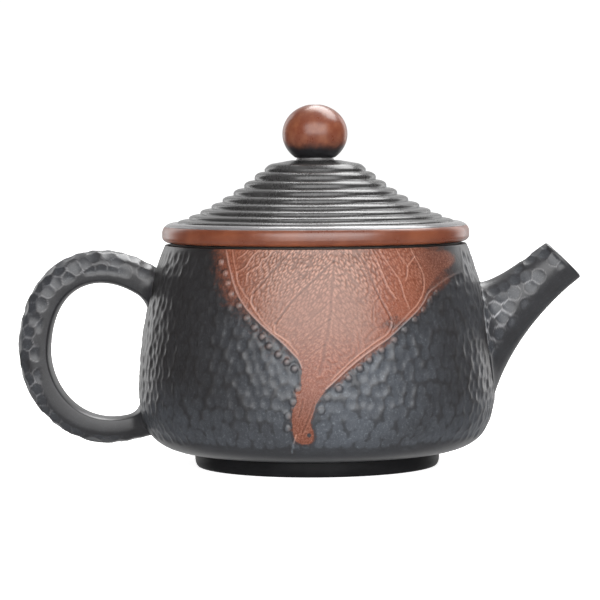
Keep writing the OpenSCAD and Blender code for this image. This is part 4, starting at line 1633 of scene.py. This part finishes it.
@dataclass
class Studio:
    """White table, soft lights and the camera."""

    eye: tuple[float, float, float] = (-4.3, -790.0, 89.0)
    aim_z: float = 44.06
    roll: float = 0.42
    lens: float = 177.5

    def set_camera(self) -> None:
        """Places the camera and makes it the scene's own."""
        camera = bpy.data.objects.new("camera", bpy.data.cameras.new("camera"))
        camera.data.lens = self.lens
        camera.data.sensor_width = 36.0
        camera.data.clip_start = 0.01
        eye = Vector(self.eye)
        look = Vector((eye.x, 0.0, self.aim_z)) - eye
        level = look.to_track_quat("-Z", "Y").to_matrix().to_4x4()
        turn = level @ Matrix.Rotation(math.radians(-self.roll), 4, "Z")
        camera.matrix_world = Matrix.Translation(eye * MM) @ turn
        bpy.context.scene.collection.objects.link(camera)
        bpy.context.scene.camera = camera

    def set_table(self) -> None:
        """Lays the pale table."""
        half, columns = 6.0, 25
        x, y = np.meshgrid(np.linspace(-half, half, columns), np.linspace(-half, half, columns))
        points = np.stack([x.ravel(), y.ravel(), np.zeros(x.size)], axis=1)
        mesh = bpy.data.meshes.new("table")
        mesh.from_pydata(points.tolist(), [], grid_faces(columns, columns, False).tolist())
        table = as_object("table", mesh)
        table.data.materials.append(StudioWhite().material())
        table.visible_glossy = False

    def soft_box(self, name: str, turn: float, rise: float, away: float, size: Point, power: float) -> None:
        """Hangs one soft light that faces the pot.

        Args:
            name: The light's name.
            turn: Its angle round the pot from the front towards the spout, in degrees.
            rise: Its height above the horizon, in degrees.
            away: Its distance in metres.
            size: Its width and height in metres.
            power: Its power in watts.
        """
        lamp = bpy.data.lights.new(name, "AREA")
        lamp.shape = "RECTANGLE"
        lamp.size, lamp.size_y = size
        lamp.energy = power
        light = bpy.data.objects.new(name, lamp)
        a, b = math.radians(turn), math.radians(rise)
        place = Vector((math.sin(a) * math.cos(b), -math.cos(a) * math.cos(b), math.sin(b))) * away
        target = Vector((0.0, 0.0, 0.045))
        facing = (-place).to_track_quat("-Z", "Y").to_matrix().to_4x4()
        light.matrix_world = Matrix.Translation(place + target) @ facing
        light.visible_camera = False
        bpy.context.scene.collection.objects.link(light)

    def set_sky(self, dim: float, bright: float) -> None:
        """Surrounds the pot with white that is bright behind and above it.

        Args:
            dim: Its strength in front of the pot.
            bright: Its strength behind the pot.
        """
        world = bpy.data.worlds.new("sky")
        world.use_nodes = True
        tree = Weaver(world.node_tree)
        tree.tree.nodes.clear()
        way = tree.term("ShaderNodeTexCoord", output="Generated")
        back = tree.term("ShaderNodeSeparateXYZ", inputs={"Vector": way}, output="Y")
        up = tree.term("ShaderNodeSeparateXYZ", inputs={"Vector": way}, output="Z")
        behind = (bright - dim) * back.eased(0.5, 0.95)
        above = 0.6 * bright * up.eased(0.6, 1.0)
        below = 0.15 * bright * up.eased(-0.3, -0.9)
        strength = dim + behind + above + below
        seen = tree.term("ShaderNodeLightPath", output="Is Camera Ray")
        white = strength * (1.0 - seen) + 1.05 * seen
        sky = tree.term("ShaderNodeBackground", inputs={"Color": (1.0, 1.0, 1.0, 1.0), "Strength": white})
        tree.node("ShaderNodeOutputWorld", inputs={"Surface": sky})
        bpy.context.scene.world = world

    def build(self) -> None:
        """Sets up the whole studio."""
        bpy.context.scene.view_settings.view_transform = "Standard"
        self.set_camera()
        self.set_table()
        self.set_sky(0.075, 0.8)
        self.soft_box("front_box", 4.0, 24.0, 1.3, (2.0, 1.15), 30.0)
        self.soft_box("top_box", 143.0, 58.0, 1.2, (1.4, 0.7), 23.0)
        self.soft_box("left_box", -142.0, 14.0, 1.3, (0.4, 1.0), 2.0)
        self.soft_box("right_box", 140.0, 12.0, 1.3, (0.4, 0.9), 1.9)


# ---------------------------------------------------------------- putting it together


def box_mm(node: str) -> tuple[Vector, Vector]:
    """Lowest and highest corner of a frame node, in millimetres."""
    low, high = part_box(node)
    return Vector(low) / MM, Vector(high) / MM


def settle(piece: bpy.types.Object, body: str, node: str,
           material: Optional[bpy.types.Material] = None) -> None:
    """Hands a finished piece to the frame.

    Args:
        piece: The piece.
        body: The body that it rides on.
        node: The frame node that it stands for.
        material: Its finish, if it has none yet.
    """
    if material is not None:
        piece.data.materials.clear()
        piece.data.materials.append(material)
    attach(piece, body)
    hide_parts(node)
    faces = sum(len(p.vertices) - 2 for p in piece.data.polygons)
    LOG.info("%s: %d triangles, rides on %s", piece.name, faces, body)


def dress(node: str, material: bpy.types.Material) -> None:
    """Gives a frame node that stays visible its finish."""
    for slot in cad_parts[node].material_slots:
        slot.material = material
    LOG.info("%s: dressed in %s", node, material.name)


def main() -> None:
    """Builds the studio and the teapot, piece by piece."""
    logging.basicConfig(level=logging.INFO, format="%(name)s: %(message)s")
    Studio().build()
    hammered = HammeredClay().material()
    lid_clay, painted_lit_neck_clay, rim_clay, foot_clay, inner_clay = (
        finish.material() for finish in (LID_CLAY, PAINTED_LIT_NECK_CLAY, RIM_CLAY, FOOT_CLAY, INNER_CLAY))

    foot_high = box_mm("foot_ring")[1]
    wall_high = box_mm("body_wall")[1]
    body = PotBody(foot_r=foot_high.x, foot_h=foot_high.z, belly_r=wall_high.y, lip_z=wall_high.z)
    settle(body.build_wall(hammered), "pot", "body_wall")
    settle(body.build_foot(), "pot", "foot_ring", foot_clay)
    ring_low, ring_high = box_mm("mouth_ring")
    mouth_r = box_mm("top_disc")[1].x - body.disc_wide
    ring = body.build_mouth_ring(ring_low.z, ring_high.z, mouth_r, ring_high.x)
    settle(ring, "pot", "mouth_ring", inner_clay)
    settle(Spout(body).build(hammered), "pot", "spout")
    settle(Handle(body).build(hammered), "pot", "handle")

    rim_low, rim_high = box_mm("lid_rim")
    knob_low, knob_high = box_mm("knob")
    neck_low, neck_high = box_mm("knob_collar")
    lid = Lid(seat_z=rim_low.z, rim_h=rim_high.z - rim_low.z, rim_r=rim_high.x, knob_r=knob_high.x,
              top_z=knob_high.z)
    settle(lid.build_plate(lid_clay), "lid", "lid_plate", lid_clay)
    settle(lid.build_rim(), "lid", "lid_rim", rim_clay)
    settle(lid.build_collar(), "lid", "lid_flange", lid_clay)
    settle(lid.build_neck(neck_low.z, neck_high.z, lid.neck_r), "lid", "knob_collar", painted_lit_neck_clay)
    settle(lid.build_knob(knob_low.z), "lid", "knob", PolishedBall().material())

    for node in ("base_disc", "top_disc", "strainer"):
        dress(node, inner_clay)


if __name__ == "__main__":
    main()
